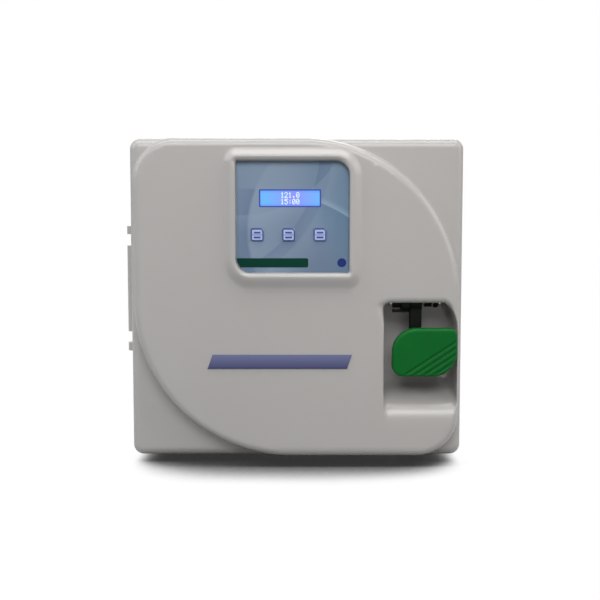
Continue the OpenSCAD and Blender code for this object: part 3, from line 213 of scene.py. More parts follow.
# The floor glows white where nothing stands over it, so the only shade is the one under the part.
# The normal is tilted backwards, which draws that shade from the part's front edge.
FLOOR_HALF, SHADE_REACH, GLOW_SHARE = 6, 0.13, 0.97
floor_mesh = bpy.data.meshes.new("floor")
corners = [(x * FLOOR_HALF, y * FLOOR_HALF, 0) for x, y in ((-1, -1), (1, -1), (1, 1), (-1, 1))]
floor_mesh.from_pydata(corners, [], [(0, 1, 2, 3)])
floor = bpy.data.objects.new("floor", floor_mesh)
scene.collection.objects.link(floor)
floor_mat = bpy.data.materials.new("floor_white")
floor_mat.use_nodes = True
tree = floor_mat.node_tree
tree.nodes.clear()
out = new_node(tree, "OutputMaterial")
grain = new_node(tree, "TexNoise", (("Scale", 3),))
tone = new_node(tree, "MapRange", (("To Min", 0.30), ("To Max", 0.34)))
matt = new_node(tree, "BsdfDiffuse")
tilt = new_node(tree, "CombineXYZ", (("Y", 0.8), ("Z", 0.6)))
open_sky = new_node(tree, "AmbientOcclusion", (("Distance", SHADE_REACH),), samples=32)
shade = new_node(
    tree, "MapRange",
    (("From Min", 0.27), ("From Max", 0.66), ("To Min", 0.03), ("To Max", 1.03)),
    interpolation_type="SMOOTHSTEP",
)
glow = new_node(tree, "Emission")
mix = new_node(tree, "MixShader")
links(
    tree,
    (grain.outputs[0], tone.inputs[0]),
    (tone.outputs[0], matt.inputs["Color"]),
    (tilt.outputs[0], open_sky.inputs["Normal"]),
    (open_sky.outputs["AO"], shade.inputs[0]),
    (shade.outputs[0], glow.inputs["Strength"]),
    (figure(tree, "MULTIPLY", seen_rays(tree), GLOW_SHARE), mix.inputs[0]),
    (matt.outputs[0], mix.inputs[1]),
    (glow.outputs[0], mix.inputs[2]),
    (mix.outputs[0], out.inputs[0]),
)
floor_mesh.materials.append(floor_mat)


# Materials

def finish_material(
    name, color, rough, metal=0.0, vary=0.06, tone_scale=9, rough_vary=0.04, bump=0.0,
    bump_scale=400, stretch=(1, 1, 1), spec=0.5, aniso=0.0, edge=0.5,
):
    """A surface with broad tone changes, uneven gloss, a fine relief and edges rounded by edge mm."""
    mat = bpy.data.materials.new(name)
    mat.use_nodes = True
    tree = mat.node_tree
    shader = tree.nodes["Principled BSDF"]
    dark = tuple(c * (1 - vary) for c in color)
    light = tuple(min(1, c * (1 + vary)) for c in color)
    tone = spread(tree, noise(tree, tone_scale, 3, stretch), 0, 1)
    tree.links.new(blend_colors(tree, tone, dark, light), shader.inputs["Base Color"])
    low, high = max(0.02, rough - rough_vary), min(1, rough + rough_vary)
    gloss = spread(tree, noise(tree, bump_scale * 0.4, 2, stretch), low, high)
    tree.links.new(gloss, shader.inputs["Roughness"])
    shader.inputs["Metallic"].default_value = metal
    shader.inputs["Specular IOR Level"].default_value = spec
    shader.inputs["Anisotropic"].default_value = aniso
    normal = None
    if edge:
        normal = new_node(tree, "Bevel", (("Radius", edge * MM),)).outputs[0]
    if bump:
        relief = new_node(tree, "Bump", (("Strength", bump), ("Distance", 0.0004)))
        tree.links.new(noise(tree, bump_scale, 3, stretch), relief.inputs["Height"])
        if normal:
            tree.links.new(normal, relief.inputs["Normal"])
        normal = relief.outputs[0]
    if normal:
        tree.links.new(normal, shader.inputs["Normal"])
    return mat


def local_axes(tree, x0, z0):
    """Sockets with the place across and up from a point of the door's front, in mm."""
    coords = new_node(tree, "TexCoord")
    split = new_node(tree, "SeparateXYZ")
    tree.links.new(coords.outputs["Object"], split.inputs[0])
    centre = world(x0, 0, z0)
    across = figure(tree, "MULTIPLY_ADD", split.outputs["X"], 1 / MM, -centre.x / MM)
    up = figure(tree, "MULTIPLY_ADD", split.outputs["Z"], 1 / MM, -centre.z / MM)
    return across, up


def sweep(tree, across, up, x, z, r, width):
    """A soft arc: full on its circle, fading out over a width, inwards where that is negative."""
    dx = figure(tree, "SUBTRACT", across, x)
    dz = figure(tree, "SUBTRACT", up, z)
    square = figure(
        tree, "ADD", figure(tree, "MULTIPLY", dx, dx), figure(tree, "MULTIPLY", dz, dz)
    )
    off = figure(tree, "SUBTRACT", figure(tree, "SQRT", square), r)
    d = figure(tree, "DIVIDE", off, width)
    inside = spread(tree, d, 0, 1, -0.04, 0.04)
    fade = spread(tree, d, 1, 0, 0, 1)
    return figure(tree, "MULTIPLY", inside, fade)


def panel_material():
    """A printed film: blue-grey, paler at the upper left, with a few soft arcs."""
    mat = finish_material("panel_film", rgb(116, 133, 155), 0.42, vary=0.02, spec=0.15, edge=0.2)
    tree = mat.node_tree
    across, up = local_axes(tree, PANEL_X, PANEL_Z)
    slant = spread(
        tree, figure(tree, "ADD", figure(tree, "MULTIPLY", across, -0.35), up), 0, 1, -75, 70
    )
    color = blend_colors(tree, slant, rgb(101, 118, 141), rgb(129, 147, 169))
    right_side = figure(tree, "ADD", across, figure(tree, "MULTIPLY", up, 0.4))
    color = blend_colors(tree, spread(tree, right_side, 0, 0.8, 15, 55), color, rgb(106, 132, 157))
    low = spread(tree, up, 1, 0, 30, 33)
    right = spread(tree, across, 0, 1, 18, 36)
    # Centre, radius and width in mm, strength, colour and where the arc is limited to
    for x, z, r, width, strength, tint, where in (
        (75, -15, 125, 26, 0.85, rgb(102, 122, 149), low),
        (75, -15, 125, -50, 0.5, rgb(142, 158, 178), None),
        (-120, 78, 150.5, 17, 0.7, rgb(100, 119, 146), None),
        (-120, 78, 164, 30, 0.35, rgb(132, 150, 170), None),
        (-22, -124.3, 150, -40, 0.7, rgb(94, 121, 147), right),
        (-22, -124.3, 150, 7, 0.6, rgb(154, 176, 198), right),
        (-60, 130, 128, 18, 0.35, rgb(140, 158, 180), None),
    ):
        arc = figure(tree, "MULTIPLY", sweep(tree, across, up, x, z, r, width), strength)
        if where:
            arc = figure(tree, "MULTIPLY", arc, where)
        color = blend_colors(tree, arc, color, tint)
    tree.links.new(color, tree.nodes["Principled BSDF"].inputs["Base Color"])
    return mat


def display_material():
    """A backlit blue display, violet in the middle and paler at its ends."""
    mat = finish_material("display", (0.01, 0.02, 0.06), 0.18, edge=0)
    tree = mat.node_tree
    shader = tree.nodes["Principled BSDF"]
    across, up = local_axes(tree, LCD_X, LCD_Z)
    off = spread(tree, figure(tree, "ABSOLUTE", figure(tree, "ADD", across, -4)), 0, 1, 2, 30)
    color = blend_colors(tree, off, rgb(138, 150, 255), rgb(104, 182, 255))
    rim = spread(tree, figure(tree, "ABSOLUTE", up), 0, 0.7, 5.5, 9)
    color = blend_colors(tree, rim, color, rgb(84, 136, 250))
    tree.links.new(color, shader.inputs["Emission Color"])
    shader.inputs["Emission Strength"].default_value = 0.93
    return mat


def badge_material():
    """A dark blue film, paler at its top."""
    mat = finish_material(
        "badge_film", rgb(76, 82, 116), 0.3, vary=0.05, rough_vary=0.002, spec=0.4, edge=0
    )
    tree = mat.node_tree
    up = spread(tree, local_axes(tree, 0, BADGE_Z)[1], 0, 1, -7, 7)
    color = blend_colors(tree, up, rgb(58, 60, 100), rgb(98, 104, 140))
    tree.links.new(color, tree.nodes["Principled BSDF"].inputs["Base Color"])
    return mat


BRUSH_Y = (1, 0.03, 1)
FINISHES = (
    ("cover_plastic", rgb(166, 163, 161), 0.27, dict(vary=0.03, tone_scale=4, rough_vary=0.002, edge=0)),
    ("case_paint", rgb(176, 176, 172), 0.42, dict(vary=0.03, tone_scale=4, bump=0.25, bump_scale=900)),
    ("liner_paint", rgb(166, 163, 160), 0.36, dict(vary=0.03, bump=0.1, bump_scale=700)),
    ("stainless", (0.58, 0.58, 0.57), 0.3, dict(
        metal=1.0, vary=0.04, tone_scale=30, bump=0.04, bump_scale=700, stretch=BRUSH_Y, aniso=0.3
    )),
    ("zinc_steel", (0.52, 0.53, 0.54), 0.32, dict(metal=1.0, vary=0.1, tone_scale=120)),
    ("grey_steel", (0.085, 0.09, 0.095), 0.45, dict(vary=0.1, bump=0.15, bump_scale=800)),
    ("black_steel", (0.005, 0.0065, 0.005), 0.42, dict(vary=0.2, bump=0.1, bump_scale=700, spec=0.06)),
    ("black_plastic", (0.014, 0.014, 0.015), 0.5, dict(vary=0.12, bump=0.2, bump_scale=900, spec=0.3)),
    ("foot_rubber", (0.014, 0.014, 0.014), 0.75, dict(vary=0.15, bump=0.3, bump_scale=600, spec=0.25)),
    ("silicone", (0.62, 0.56, 0.46), 0.42, dict(vary=0.06, bump=0.05)),
    ("brass", (0.52, 0.36, 0.12), 0.3, dict(metal=1.0, vary=0.12, tone_scale=80)),
    ("key_plastic", rgb(172, 184, 222), 0.38, dict(vary=0.05, bump=0.05, spec=0.3)),
    ("grip_plastic", rgb(12, 92, 36), 0.34, dict(
        vary=0.07, tone_scale=25, bump=0.05, bump_scale=500, spec=0.07, edge=0
    )),
    ("circuit_board", (0.01, 0.085, 0.035), 0.35, dict(vary=0.2, tone_scale=160)),
    ("heater_mica", (0.2, 0.13, 0.05), 0.5, dict(metal=0.3, vary=0.2, tone_scale=60)),
    ("insulation", (0.55, 0.48, 0.26), 0.9, dict(vary=0.25, tone_scale=70, bump=0.8, bump_scale=250)),
    ("rocker_red", (0.32, 0.012, 0.01), 0.28, dict(vary=0.08, tone_scale=150, spec=0.3)),
)
MATS = {name: finish_material(name, color, rough, **rest) for name, color, rough, rest in FINISHES}
MATS["panel_film"] = panel_material()
MATS["display"] = display_material()
MATS["badge_film"] = badge_material()
for part in frame["record"]["subparts"]:
    obj = NODES[part["node"]]
    obj.data.materials.clear()
    obj.data.materials.append(MATS[part["material_slot"]])
    for poly in obj.data.polygons:
        poly.material_index = 0


# Solids from distance fields

def ramp(value, start, run):
    """0 up to start, then rising to 1 over a run."""
    return np.clip((value - start) / run, 0, 1)


def leaf_field(x, z, w, h, big, small):
    """Distance to a rectangle with two wide corners (upper right, lower left) and two tight ones."""
    r = np.where(x * z > 0, big, small).astype(np.float32)
    qx = np.abs(x) - w / 2 + r
    qz = np.abs(z) - h / 2 + r
    corner = np.hypot(np.maximum(qx, 0), np.maximum(qz, 0))
    return np.minimum(np.maximum(qx, qz), 0) + corner - r


def corner_field(x, z, x0, z0, x1, z1, ll, lr, ur, ul):
    """Distance to a rectangle with a radius for each corner, from lower left round to upper left."""
    px, pz = x - (x0 + x1) / 2, z - (z0 + z1) / 2
    r = np.where(px > 0, np.where(pz > 0, ur, lr), np.where(pz > 0, ul, ll)).astype(np.float32)
    qx = np.abs(px) - (x1 - x0) / 2 + r
    qz = np.abs(pz) - (z1 - z0) / 2 + r
    corner = np.hypot(np.maximum(qx, 0), np.maximum(qz, 0))
    return np.minimum(np.maximum(qx, qz), 0) + corner - r


def soft_front(flat, ahead, edge):
    """An outline drawn backwards from a front plane, with that edge rounded."""
    a = flat + edge
    b = ahead + edge
    return np.minimum(np.maximum(a, b), 0) + np.hypot(np.maximum(a, 0), np.maximum(b, 0)) - edge


def join(a, b, r):
    """Both solids, with a fillet between them."""
    u = np.maximum(r - a, 0)
    v = np.maximum(r - b, 0)
    return np.maximum(r, np.minimum(a, b)) - np.hypot(u, v)


def meet(a, b, r):
    """What both solids hold, with a rounded edge."""
    u = np.maximum(r + a, 0)
    v = np.maximum(r + b, 0)
    return np.minimum(-r, np.maximum(a, b)) + np.hypot(u, v)


def box_field(x, y, z, lo, hi):
    parts = [np.abs(v - (a + b) / 2) - (b - a) / 2 for v, a, b in zip((x, y, z), lo, hi)]
    return np.maximum(np.maximum(parts[0], parts[1]), parts[2])


def polygon_field(u, v, points):
    """Signed distance to a closed outline in the plane."""
    pts = np.array(points, np.float64)
    nearest = np.full(np.broadcast(u, v).shape, 1e9)
    inside = np.zeros(nearest.shape, bool)
    for (ax, ay), (bx, by) in zip(pts, np.roll(pts, -1, axis=0)):
        ex, ey = bx - ax, by - ay
        t = np.clip(((u - ax) * ex + (v - ay) * ey) / (ex * ex + ey * ey), 0, 1)
        nearest = np.minimum(nearest, (u - ax - t * ex) ** 2 + (v - ay - t * ey) ** 2)
        if ey != 0:
            crosses = (ay > v) != (by > v)
            inside ^= crosses & (u < ax + (v - ay) / ey * ex)
    return np.where(inside, -1, 1) * np.sqrt(nearest)


def field_slope(field, points, h):
    slope = np.empty_like(points)
    for i in range(3):
        d = np.zeros(3)
        d[i] = h
        slope[:, i] = (field(*(points + d).T) - field(*(points - d).T)) / (2 * h)
    return slope


# Samples are kept within a band of some steps round the surface and worked out in slabs, to save memory
BAND, SLAB, PULLS = 3.0, 40, 3


def solid_from_field(name, field, lo, hi, step, flat):
    """Mesh of field < 0, its points pulled onto the surface and its normals taken from the field.

    Sizes in mm; flat says how far the mesh may be thinned where it is flat.
    """
    axes = [
        np.arange(a - 2 * step, b + 2.5 * step, step, dtype=np.float32) for a, b in zip(lo, hi)
    ]
    slabs = np.array_split(axes[0], max(1, len(axes[0]) // SLAB))
    values = [
        field(x[:, None, None], axes[1][None, :, None], axes[2][None, None, :]) for x in slabs
    ]
    near = np.clip(np.concatenate(values) / step, -BAND, BAND)
    grid = openvdb.FloatGrid(background=BAND)
    grid.copyFromArray(np.ascontiguousarray(near, np.float32))
    points, tris, quads = grid.convertToPolygons(isovalue=0.0, adaptivity=flat)
    points = points.astype(np.float64) * step + np.array([a[0] for a in axes])

    for _ in range(PULLS):
        slope = field_slope(field, points, 0.1 * step)
        size = np.maximum((slope * slope).sum(1), 0.3)
        move = (field(*points.T) / size)[:, None] * slope
        length = np.maximum(np.linalg.norm(move, axis=1, keepdims=True), 1e-9)
        points -= move * np.minimum(1, 0.7 * step / length)
    normals = field_slope(field, points, 0.3 * step)
    normals /= np.maximum(np.linalg.norm(normals, axis=1, keepdims=True), 1e-9)
    a, b, c = (points[quads[:, i]] for i in (0, 1, 2))
    if (np.cross(b - a, c - a) * normals[quads[:, 0]]).sum() < 0:
        tris, quads = tris[:, ::-1], quads[:, ::-1]

    corners = np.concatenate([tris.ravel(), quads.ravel()]).astype(np.int32)
    tri_starts = np.arange(len(tris)) * 3
    quad_starts = 3 * len(tris) + np.arange(len(quads)) * 4
    starts = np.concatenate([tri_starts, quad_starts]).astype(np.int32)
    mesh = bpy.data.meshes.new(name)
    mesh.vertices.add(len(points))
    places = (points * MM + np.array(ORIGIN)).astype(np.float32)
    mesh.vertices.foreach_set("co", places.ravel())
    mesh.loops.add(len(corners))
    mesh.loops.foreach_set("vertex_index", corners)
    mesh.polygons.add(len(starts))
    mesh.polygons.foreach_set("loop_start", starts)
    mesh.update(calc_edges=True)
    mesh.validate()
    mesh.polygons.foreach_set("use_smooth", np.ones(len(mesh.polygons), bool))
    mesh.normals_split_custom_set_from_vertices(normals.tolist())
    obj = bpy.data.objects.new(name, mesh)
    scene.collection.objects.link(obj)
    return obj


# Door cover

PLATE_EDGE, LEAF_EDGE, LEAF_ROOT, SHELL_T = 10, 9, 3.0, 3.0
SMALL_EDGE, INNER_EDGE = 0.8, 0.5

# The bead round the panel: its line stands off the panel, and its width differs above and below
BEAD_OFF, BEAD_BIG_R, BEAD_SMALL_R = 4.5, 20.5, 6
BEAD_WIDTH, BEAD_MORE_ABOVE, BEAD_MORE_BELOW = 10.5, 0.2, 4.7

# The panel's pocket: its sides lean outwards, and its edge is rounder above and below
POCKET_LEAN, POCKET_BIG_R, POCKET_SMALL_R = 0.05, 16, 2.5
POCKET_EDGE, POCKET_MORE_ABOVE, POCKET_MORE_BELOW, POCKET_RUN = 1.8, 3.2, 2.2, 8

# The well's section: a back wall, a scoop that turns forwards and a lip that rolls over into the
# leaf's front. Its outline has one swept corner, at the upper right.
SCOOP_R, SCOOP_TURN, SCOOP_TOP, LIP_R, ARC_POINTS = 22.0, math.radians(68), -85.5, 26.0, 13
SCOOP = [
    (WELL_Y - SCOOP_R + SCOOP_R * math.cos(a), SCOOP_TOP - SCOOP_R * math.sin(a))
    for a in np.linspace(0, SCOOP_TURN, ARC_POINTS)
]
SCOOP_Y, SCOOP_Z = SCOOP[-1]
LIP_LOW = (
    SCOOP_Z - (SCOOP_Y - LEAF_Y) / math.tan(SCOOP_TURN) - LIP_R * math.tan(SCOOP_TURN / 2)
)
LIP = [
    (LEAF_Y + LIP_R - LIP_R * math.cos(a), LIP_LOW + LIP_R * math.sin(a))
    for a in np.linspace(SCOOP_TURN, 0, ARC_POINTS)
]
# Ahead of the leaf the section only has to stay clear of it
CLEAR_Y, CLEAR_DOWN, AHEAD_Y, AHEAD_DOWN = LEAF_Y - 2, 22, -60, 70
WELL_SECTION = (
    [(AHEAD_Y, WELL_TOP), (WELL_Y, WELL_TOP)] + SCOOP + LIP
    + [(CLEAR_Y, LIP_LOW - CLEAR_DOWN), (AHEAD_Y, LIP_LOW - AHEAD_DOWN)]
)
WELL_BELOW, WELL_CORNER_R, WELL_INNER_R, SWEPT_W, SWEPT_H = 20, 9, 5.0, 18, 34
DEEP_INSIDE = -99

# The mouth's edge is rounder towards its top and tighter at its lower end and on the right. Each
# change starts at a place and grows over a run.
MOUTH_EDGE, MOUTH_MORE_ABOVE, MOUTH_LESS_BELOW, MOUTH_SIDE_EDGE = 2.5, 8.5, 1.9, 1.2
MOUTH_ABOVE, MOUTH_ABOVE_RUN = -30, 24
MOUTH_BELOW, MOUTH_BELOW_RUN = -105, 15
MOUTH_SIDE, MOUTH_SIDE_RUN = 166, 12
MOUTH_SIDE_LOW, MOUTH_SIDE_LOW_RUN = -120, 10

# The room for the latch bracket above the well's mouth, the gap round the display and the notch for
# the hinge's barrel in the left side
ROOM_FRONT, ROOM_LOW, ROOM_TOP, ROOM_SIDE = LEAF_Y + 5.3, -30, 9, 12
WINDOW_GAP, WINDOW_FRONT, WINDOW_BACK = 3.2, -25, 0
NOTCH_L, NOTCH_R, NOTCH_BACK, NOTCH_AHEAD, NOTCH_GAP = -230, -185.5, 90, 9.5, 1
COVER_STEP, COVER_FLAT = 1.36, 0.01


def well_field(x, y, z):
    """The handle's well, and how far the edge round its mouth is rounded."""
    section = polygon_field(y, z, WELL_SECTION).astype(np.float32)
    outline = corner_field(
        x, z, WELL_L, WELL_LOW - WELL_BELOW, WELL_R, WELL_TOP, *[WELL_CORNER_R] * 4
    )
    across, up = (x - WELL_R) / SWEPT_W + 1, (z - WELL_TOP) / SWEPT_H + 1
    swept = (np.hypot(np.maximum(across, 0), np.maximum(up, 0)) - 1) * SWEPT_W
    outline = np.maximum(outline, np.where((across > 0) & (up > 0), swept, DEEP_INSIDE))
    edge = MOUTH_EDGE + MOUTH_MORE_ABOVE * ramp(z, MOUTH_ABOVE, MOUTH_ABOVE_RUN)
    edge = edge - MOUTH_LESS_BELOW * ramp(-z, -MOUTH_BELOW, MOUTH_BELOW_RUN)
    beside = ramp(x, MOUTH_SIDE, MOUTH_SIDE_RUN)
    edge = edge - (edge - MOUTH_SIDE_EDGE) * beside * ramp(z, MOUTH_SIDE_LOW, MOUTH_SIDE_LOW_RUN)
    return meet(section, outline, WELL_INNER_R), edge


def bead(x, z):
    """How far the rim round the panel stands out from the leaf: a crest that falls away outwards."""
    rx, rz = x - PANEL_X, z - PANEL_Z
    w, h = PANEL_W + 2 * BEAD_OFF, PANEL_H + 2 * BEAD_OFF
    r = np.where(rx * rz > 0, BEAD_BIG_R, BEAD_SMALL_R)
    over = np.maximum(np.abs(rz) - h / 2 + r, 0) ** 2
    over = over / (over + np.maximum(np.abs(rx) - w / 2 + r, 0) ** 2 + 1e-6)
    width = BEAD_WIDTH + over * np.where(rz > 0, BEAD_MORE_ABOVE, BEAD_MORE_BELOW)
    t = np.clip(1 - leaf_field(rx, rz, w, h, BEAD_BIG_R, BEAD_SMALL_R) / width, 0, 1)
    return (LEAF_Y - RIM_Y) * t * t * (3 - 2 * t)


def pocket_field(x, y, z):
    """The panel's pocket, and how far its edge is rounded."""
    rx, rz = x - PANEL_X, z - PANEL_Z
    side = (FLOOR_Y - y) * POCKET_LEAN
    outline = leaf_field(
        rx, rz, PANEL_W + 2 * side, PANEL_H + 2 * side, POCKET_BIG_R, POCKET_SMALL_R
    )
    more = np.where(rz > 0, POCKET_MORE_ABOVE, POCKET_MORE_BELOW)
    edge = POCKET_EDGE + more * ramp(np.abs(rz) - PANEL_H / 2 + POCKET_RUN, 0, POCKET_RUN)
    return np.maximum(outline, y - FLOOR_Y), edge


def cover_field(x, y, z):
    outline = leaf_field(x, z, PLATE_W, PLATE_H, PLATE_R, PLATE_R)
    plate = soft_front(outline, -y, PLATE_EDGE)
    leaf = leaf_field(x, z - LEAF_UP, LEAF_W, LEAF_H, LEAF_BIG_R, LEAF_SMALL_R)
    leaf = soft_front(leaf, LEAF_Y - bead(x, z) - y, LEAF_EDGE)
    body = np.maximum(join(plate, leaf, LEAF_ROOT), outline)
    for hollow, edge in (pocket_field(x, y, z), well_field(x, y, z)):
        body = meet(body, -hollow, edge)
    room = box_field(
        x, y, z, (WELL_L, ROOM_FRONT, ROOM_LOW), (WELL_R - ROOM_SIDE, WELL_Y, ROOM_TOP)
    )
    body = meet(body, -room, SMALL_EDGE)
    shell = meet(meet(body, y - DOOR_D, SMALL_EDGE), -(body + SHELL_T), INNER_EDGE)
    half_w, half_h = LCD_W / 2 + WINDOW_GAP, LCD_H / 2 + WINDOW_GAP
    window = box_field(
        x, y, z,
        (LCD_X - half_w, WINDOW_FRONT, LCD_Z - half_h), (LCD_X + half_w, WINDOW_BACK, LCD_Z + half_h),
    )
    shell = np.maximum(shell, -window)
    notch = box_field(
        x, y, z,
        (NOTCH_L, HINGE_Y - NOTCH_AHEAD, HINGE_Z - HINGE_HALF - NOTCH_GAP),
        (NOTCH_R, NOTCH_BACK, HINGE_Z + HINGE_HALF + NOTCH_GAP),
    )
    return meet(shell, -notch, SMALL_EDGE)


cover = solid_from_field(
    "door_cover_shell", cover_field,
    (-PLATE_W / 2, RIM_Y, -PLATE_H / 2), (PLATE_W / 2, DOOR_D, PLATE_H / 2),
    COVER_STEP, COVER_FLAT,
)
cover.data.materials.append(MATS["cover_plastic"])
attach(cover, "door")
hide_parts("door_cover")

# Handle

# Corner radii go from the lower left round to the upper left. The grip's bevel leans by 45 degrees,
# and its finger grooves run up to the right from a place on its lower edge.
GRIP_L, GRIP_R, GRIP_LOW, GRIP_TOP, GRIP_CORNERS = 107.8, 180.2, -85.6, -31.6, (11, 27, 8, 27)
GRIP_Y, GRIP_BACK, GRIP_BEVEL, BEVEL_LEAN = -27.0, -11.0, 2.0, 0.7071
GRIP_EDGE, GRIP_BEVEL_EDGE, GRIP_BACK_EDGE = 0.6, 0.5, 3.0
RIB_ANGLE, RIB_COUNT, RIB_PITCH, RIB_X = math.radians(33.3), 4, 6.0, 119.0
RIB_DEEP, RIB_R, RIB_EDGE = 1.2, 1.7, 0.35
GRIP_STEP, GRIP_FLAT = 0.5, 0.05


def grip_field(x, y, z):
    flat = corner_field(x, z, GRIP_L, GRIP_LOW, GRIP_R, GRIP_TOP, *GRIP_CORNERS)
    ahead = GRIP_Y - y
    bevel = (flat + ahead + GRIP_BEVEL) * BEVEL_LEAN
    body = meet(meet(flat, ahead, GRIP_EDGE), bevel, GRIP_BEVEL_EDGE)
    body = meet(body, y - GRIP_BACK, GRIP_BACK_EDGE)
    along = (x - RIB_X) * math.sin(RIB_ANGLE) - (z - GRIP_LOW) * math.cos(RIB_ANGLE)
    for i in range(RIB_COUNT):
        groove = np.hypot(along - i * RIB_PITCH, y - GRIP_Y + RIB_R - RIB_DEEP) - RIB_R
        body = meet(body, -groove, RIB_EDGE)
    return body


grip = solid_from_field(
    "grip_leaf", grip_field,
    (GRIP_L, GRIP_Y, GRIP_LOW), (GRIP_R, GRIP_BACK, GRIP_TOP), GRIP_STEP, GRIP_FLAT,
)
grip.data.materials.append(MATS["grip_plastic"])
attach(grip, "handle")
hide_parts("handle_grip")

LEVER_L, LEVER_R, LEVER_LOW, LEVER_TOP, LEVER_CORNERS = 128.0, 142.0, -65.1, SHAFT_Z + 4, (2, 5, 2, 2)
LEVER_Y, LEVER_T, LEVER_EDGE, LEVER_BACK_EDGE = -10.7, 8, 2.4, 0.8
BOSS_R, BOSS_EDGE, BOSS_ROOT = 10, 1.6, 2.0
LEVER_STEP, LEVER_FLAT = 0.7, 0.03


def lever_field(x, y, z):
    bar = corner_field(x, z, LEVER_L, LEVER_LOW, LEVER_R, LEVER_TOP, *LEVER_CORNERS)
    bar = soft_front(bar, LEVER_Y - y, LEVER_EDGE)
    bar = meet(bar, y - LEVER_Y - LEVER_T, LEVER_BACK_EDGE)
    across = np.abs(x - (LEVER_L + LEVER_R) / 2) - (LEVER_R - LEVER_L) / 2
    boss = meet(np.hypot(y - SHAFT_Y, z - SHAFT_Z) - BOSS_R, across, BOSS_EDGE)
    return join(bar, boss, BOSS_ROOT)


lever = solid_from_field(
    "lever_bar", lever_field,
    (LEVER_L, SHAFT_Y - BOSS_R, LEVER_LOW), (LEVER_R, SHAFT_Y + BOSS_R, SHAFT_Z + BOSS_R),
    LEVER_STEP, LEVER_FLAT,
)
lever.data.materials.append(MATS["black_steel"])
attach(lever, "handle")
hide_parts("lever_arm")


# Printed and raised flat pieces

def rounded(x0, z0, x1, z1, ll, lr, ur, ul, n=9):
    """Points round a rectangle with a radius for each corner, from lower left round to upper left."""
    points = []
    for cx, cz, r, start in (
        (x0 + ll, z0 + ll, ll, 180), (x1 - lr, z0 + lr, lr, 270),
        (x1 - ur, z1 - ur, ur, 0), (x0 + ul, z1 - ul, ul, 90),
    ):
        for a in np.radians(np.linspace(start, start + 90, n if r else 1)):
            points.append((cx + r * math.cos(a), cz + r * math.sin(a)))
    return points


def flat_piece(name, outlines, front, back, body, mat, edge=0.0):
    """A plate between two depths; outlines inside the first are holes. Sizes in mm."""
    curve = bpy.data.curves.new(name, "CURVE")
    curve.dimensions = "2D"
    curve.fill_mode = "BOTH"
    curve.extrude = ((back - front) / 2 - edge) * MM
    curve.bevel_depth = edge * MM
    curve.offset = -edge * MM
    curve.bevel_resolution = 3
    for points in outlines:
        spline = curve.splines.new("POLY")
        spline.points.add(len(points) - 1)
        for point, (x, z) in zip(spline.points, points):
            point.co = (x * MM, z * MM, 0, 1)
        spline.use_cyclic_u = True
    mesh = bpy.data.meshes.new_from_object(bpy.data.objects.new(name, curve))
    mesh.name = name
    middle = world(0, (front + back) / 2, 0)
    for vert in mesh.vertices:
        x, z, depth = vert.co
        vert.co = middle + Vector((x, -depth, z))
    mesh.materials.clear()
    mesh.materials.append(mat)
    obj = bpy.data.objects.new(name, mesh)
    scene.collection.objects.link(obj)
    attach(obj, body)


def ink(name, color, rough, vary=0.06, tone_scale=60, spec=0.25):
    return finish_material(name, color, rough, vary=vary, tone_scale=tone_scale, spec=spec, edge=0)


INK_GREEN = ink("ink_green", rgb(12, 56, 44), 0.4, spec=0.04)
INK_BLUE = ink("ink_blue", rgb(18, 36, 108), 0.35)
INK_KEY = ink("ink_key", rgb(62, 80, 142), 0.4, tone_scale=90, spec=0.2)
INK_FRAME = ink("ink_frame", rgb(58, 72, 168), 0.35, vary=0.05)

# On the film: a stripe whose left end follows the pocket's corner, a disc and the display's frame
FILM_Y = -20.0
PRINT_FRONT, PRINT_BACK = FILM_Y - 0.12, FILM_Y + 0.1
STRIPE_LOW, STRIPE_TOP, STRIPE_L, STRIPE_R, STRIPE_END_R = 36.7, 47, -66.5, 13.1, 2
TURN_X, TURN_Z, TURN_R, TURN_END = -51.1, 46.8, 15.4, 0.71
left_end = [
    (TURN_X - TURN_R * math.cos(a), TURN_Z - TURN_R * math.sin(a)) for a in np.linspace(0, TURN_END, 7)
]
right_end = rounded(
    STRIPE_L, STRIPE_LOW, STRIPE_R, STRIPE_TOP, 0, STRIPE_END_R, STRIPE_END_R, 0
)[1:-1]
stripe = left_end + right_end + [(STRIPE_L, STRIPE_TOP)]
flat_piece("stripe_green", [stripe], PRINT_FRONT, PRINT_BACK, "door", INK_GREEN)
DISC_X, DISC_Z, DISC_R = 50.6, 42, 5
ring = [
    (DISC_X + DISC_R * math.cos(a), DISC_Z + DISC_R * math.sin(a))
    for a in np.linspace(0, 2 * math.pi, 49)[:-1]
]
flat_piece("disc_blue", [ring], PRINT_FRONT, PRINT_BACK, "door", INK_BLUE)
FRAME_SIDE, FRAME_OVER, FRAME_R, FRAME_INNER_R, FRAME_FRONT = 1.5, 1.3, 1, 0.6, FILM_Y - 0.15
lcd_l, lcd_r = LCD_X - LCD_W / 2, LCD_X + LCD_W / 2
lcd_b, lcd_t = LCD_Z - LCD_H / 2, LCD_Z + LCD_H / 2
display_outer = rounded(
    lcd_l - FRAME_SIDE, lcd_b - FRAME_OVER, lcd_r + FRAME_SIDE, lcd_t + FRAME_OVER, *[FRAME_R] * 4
)
display_inner = rounded(lcd_l, lcd_b, lcd_r, lcd_t, *[FRAME_INNER_R] * 4)
flat_piece(
    "display_frame", [display_outer, display_inner], FRAME_FRONT, PRINT_BACK, "door", INK_FRAME,
)

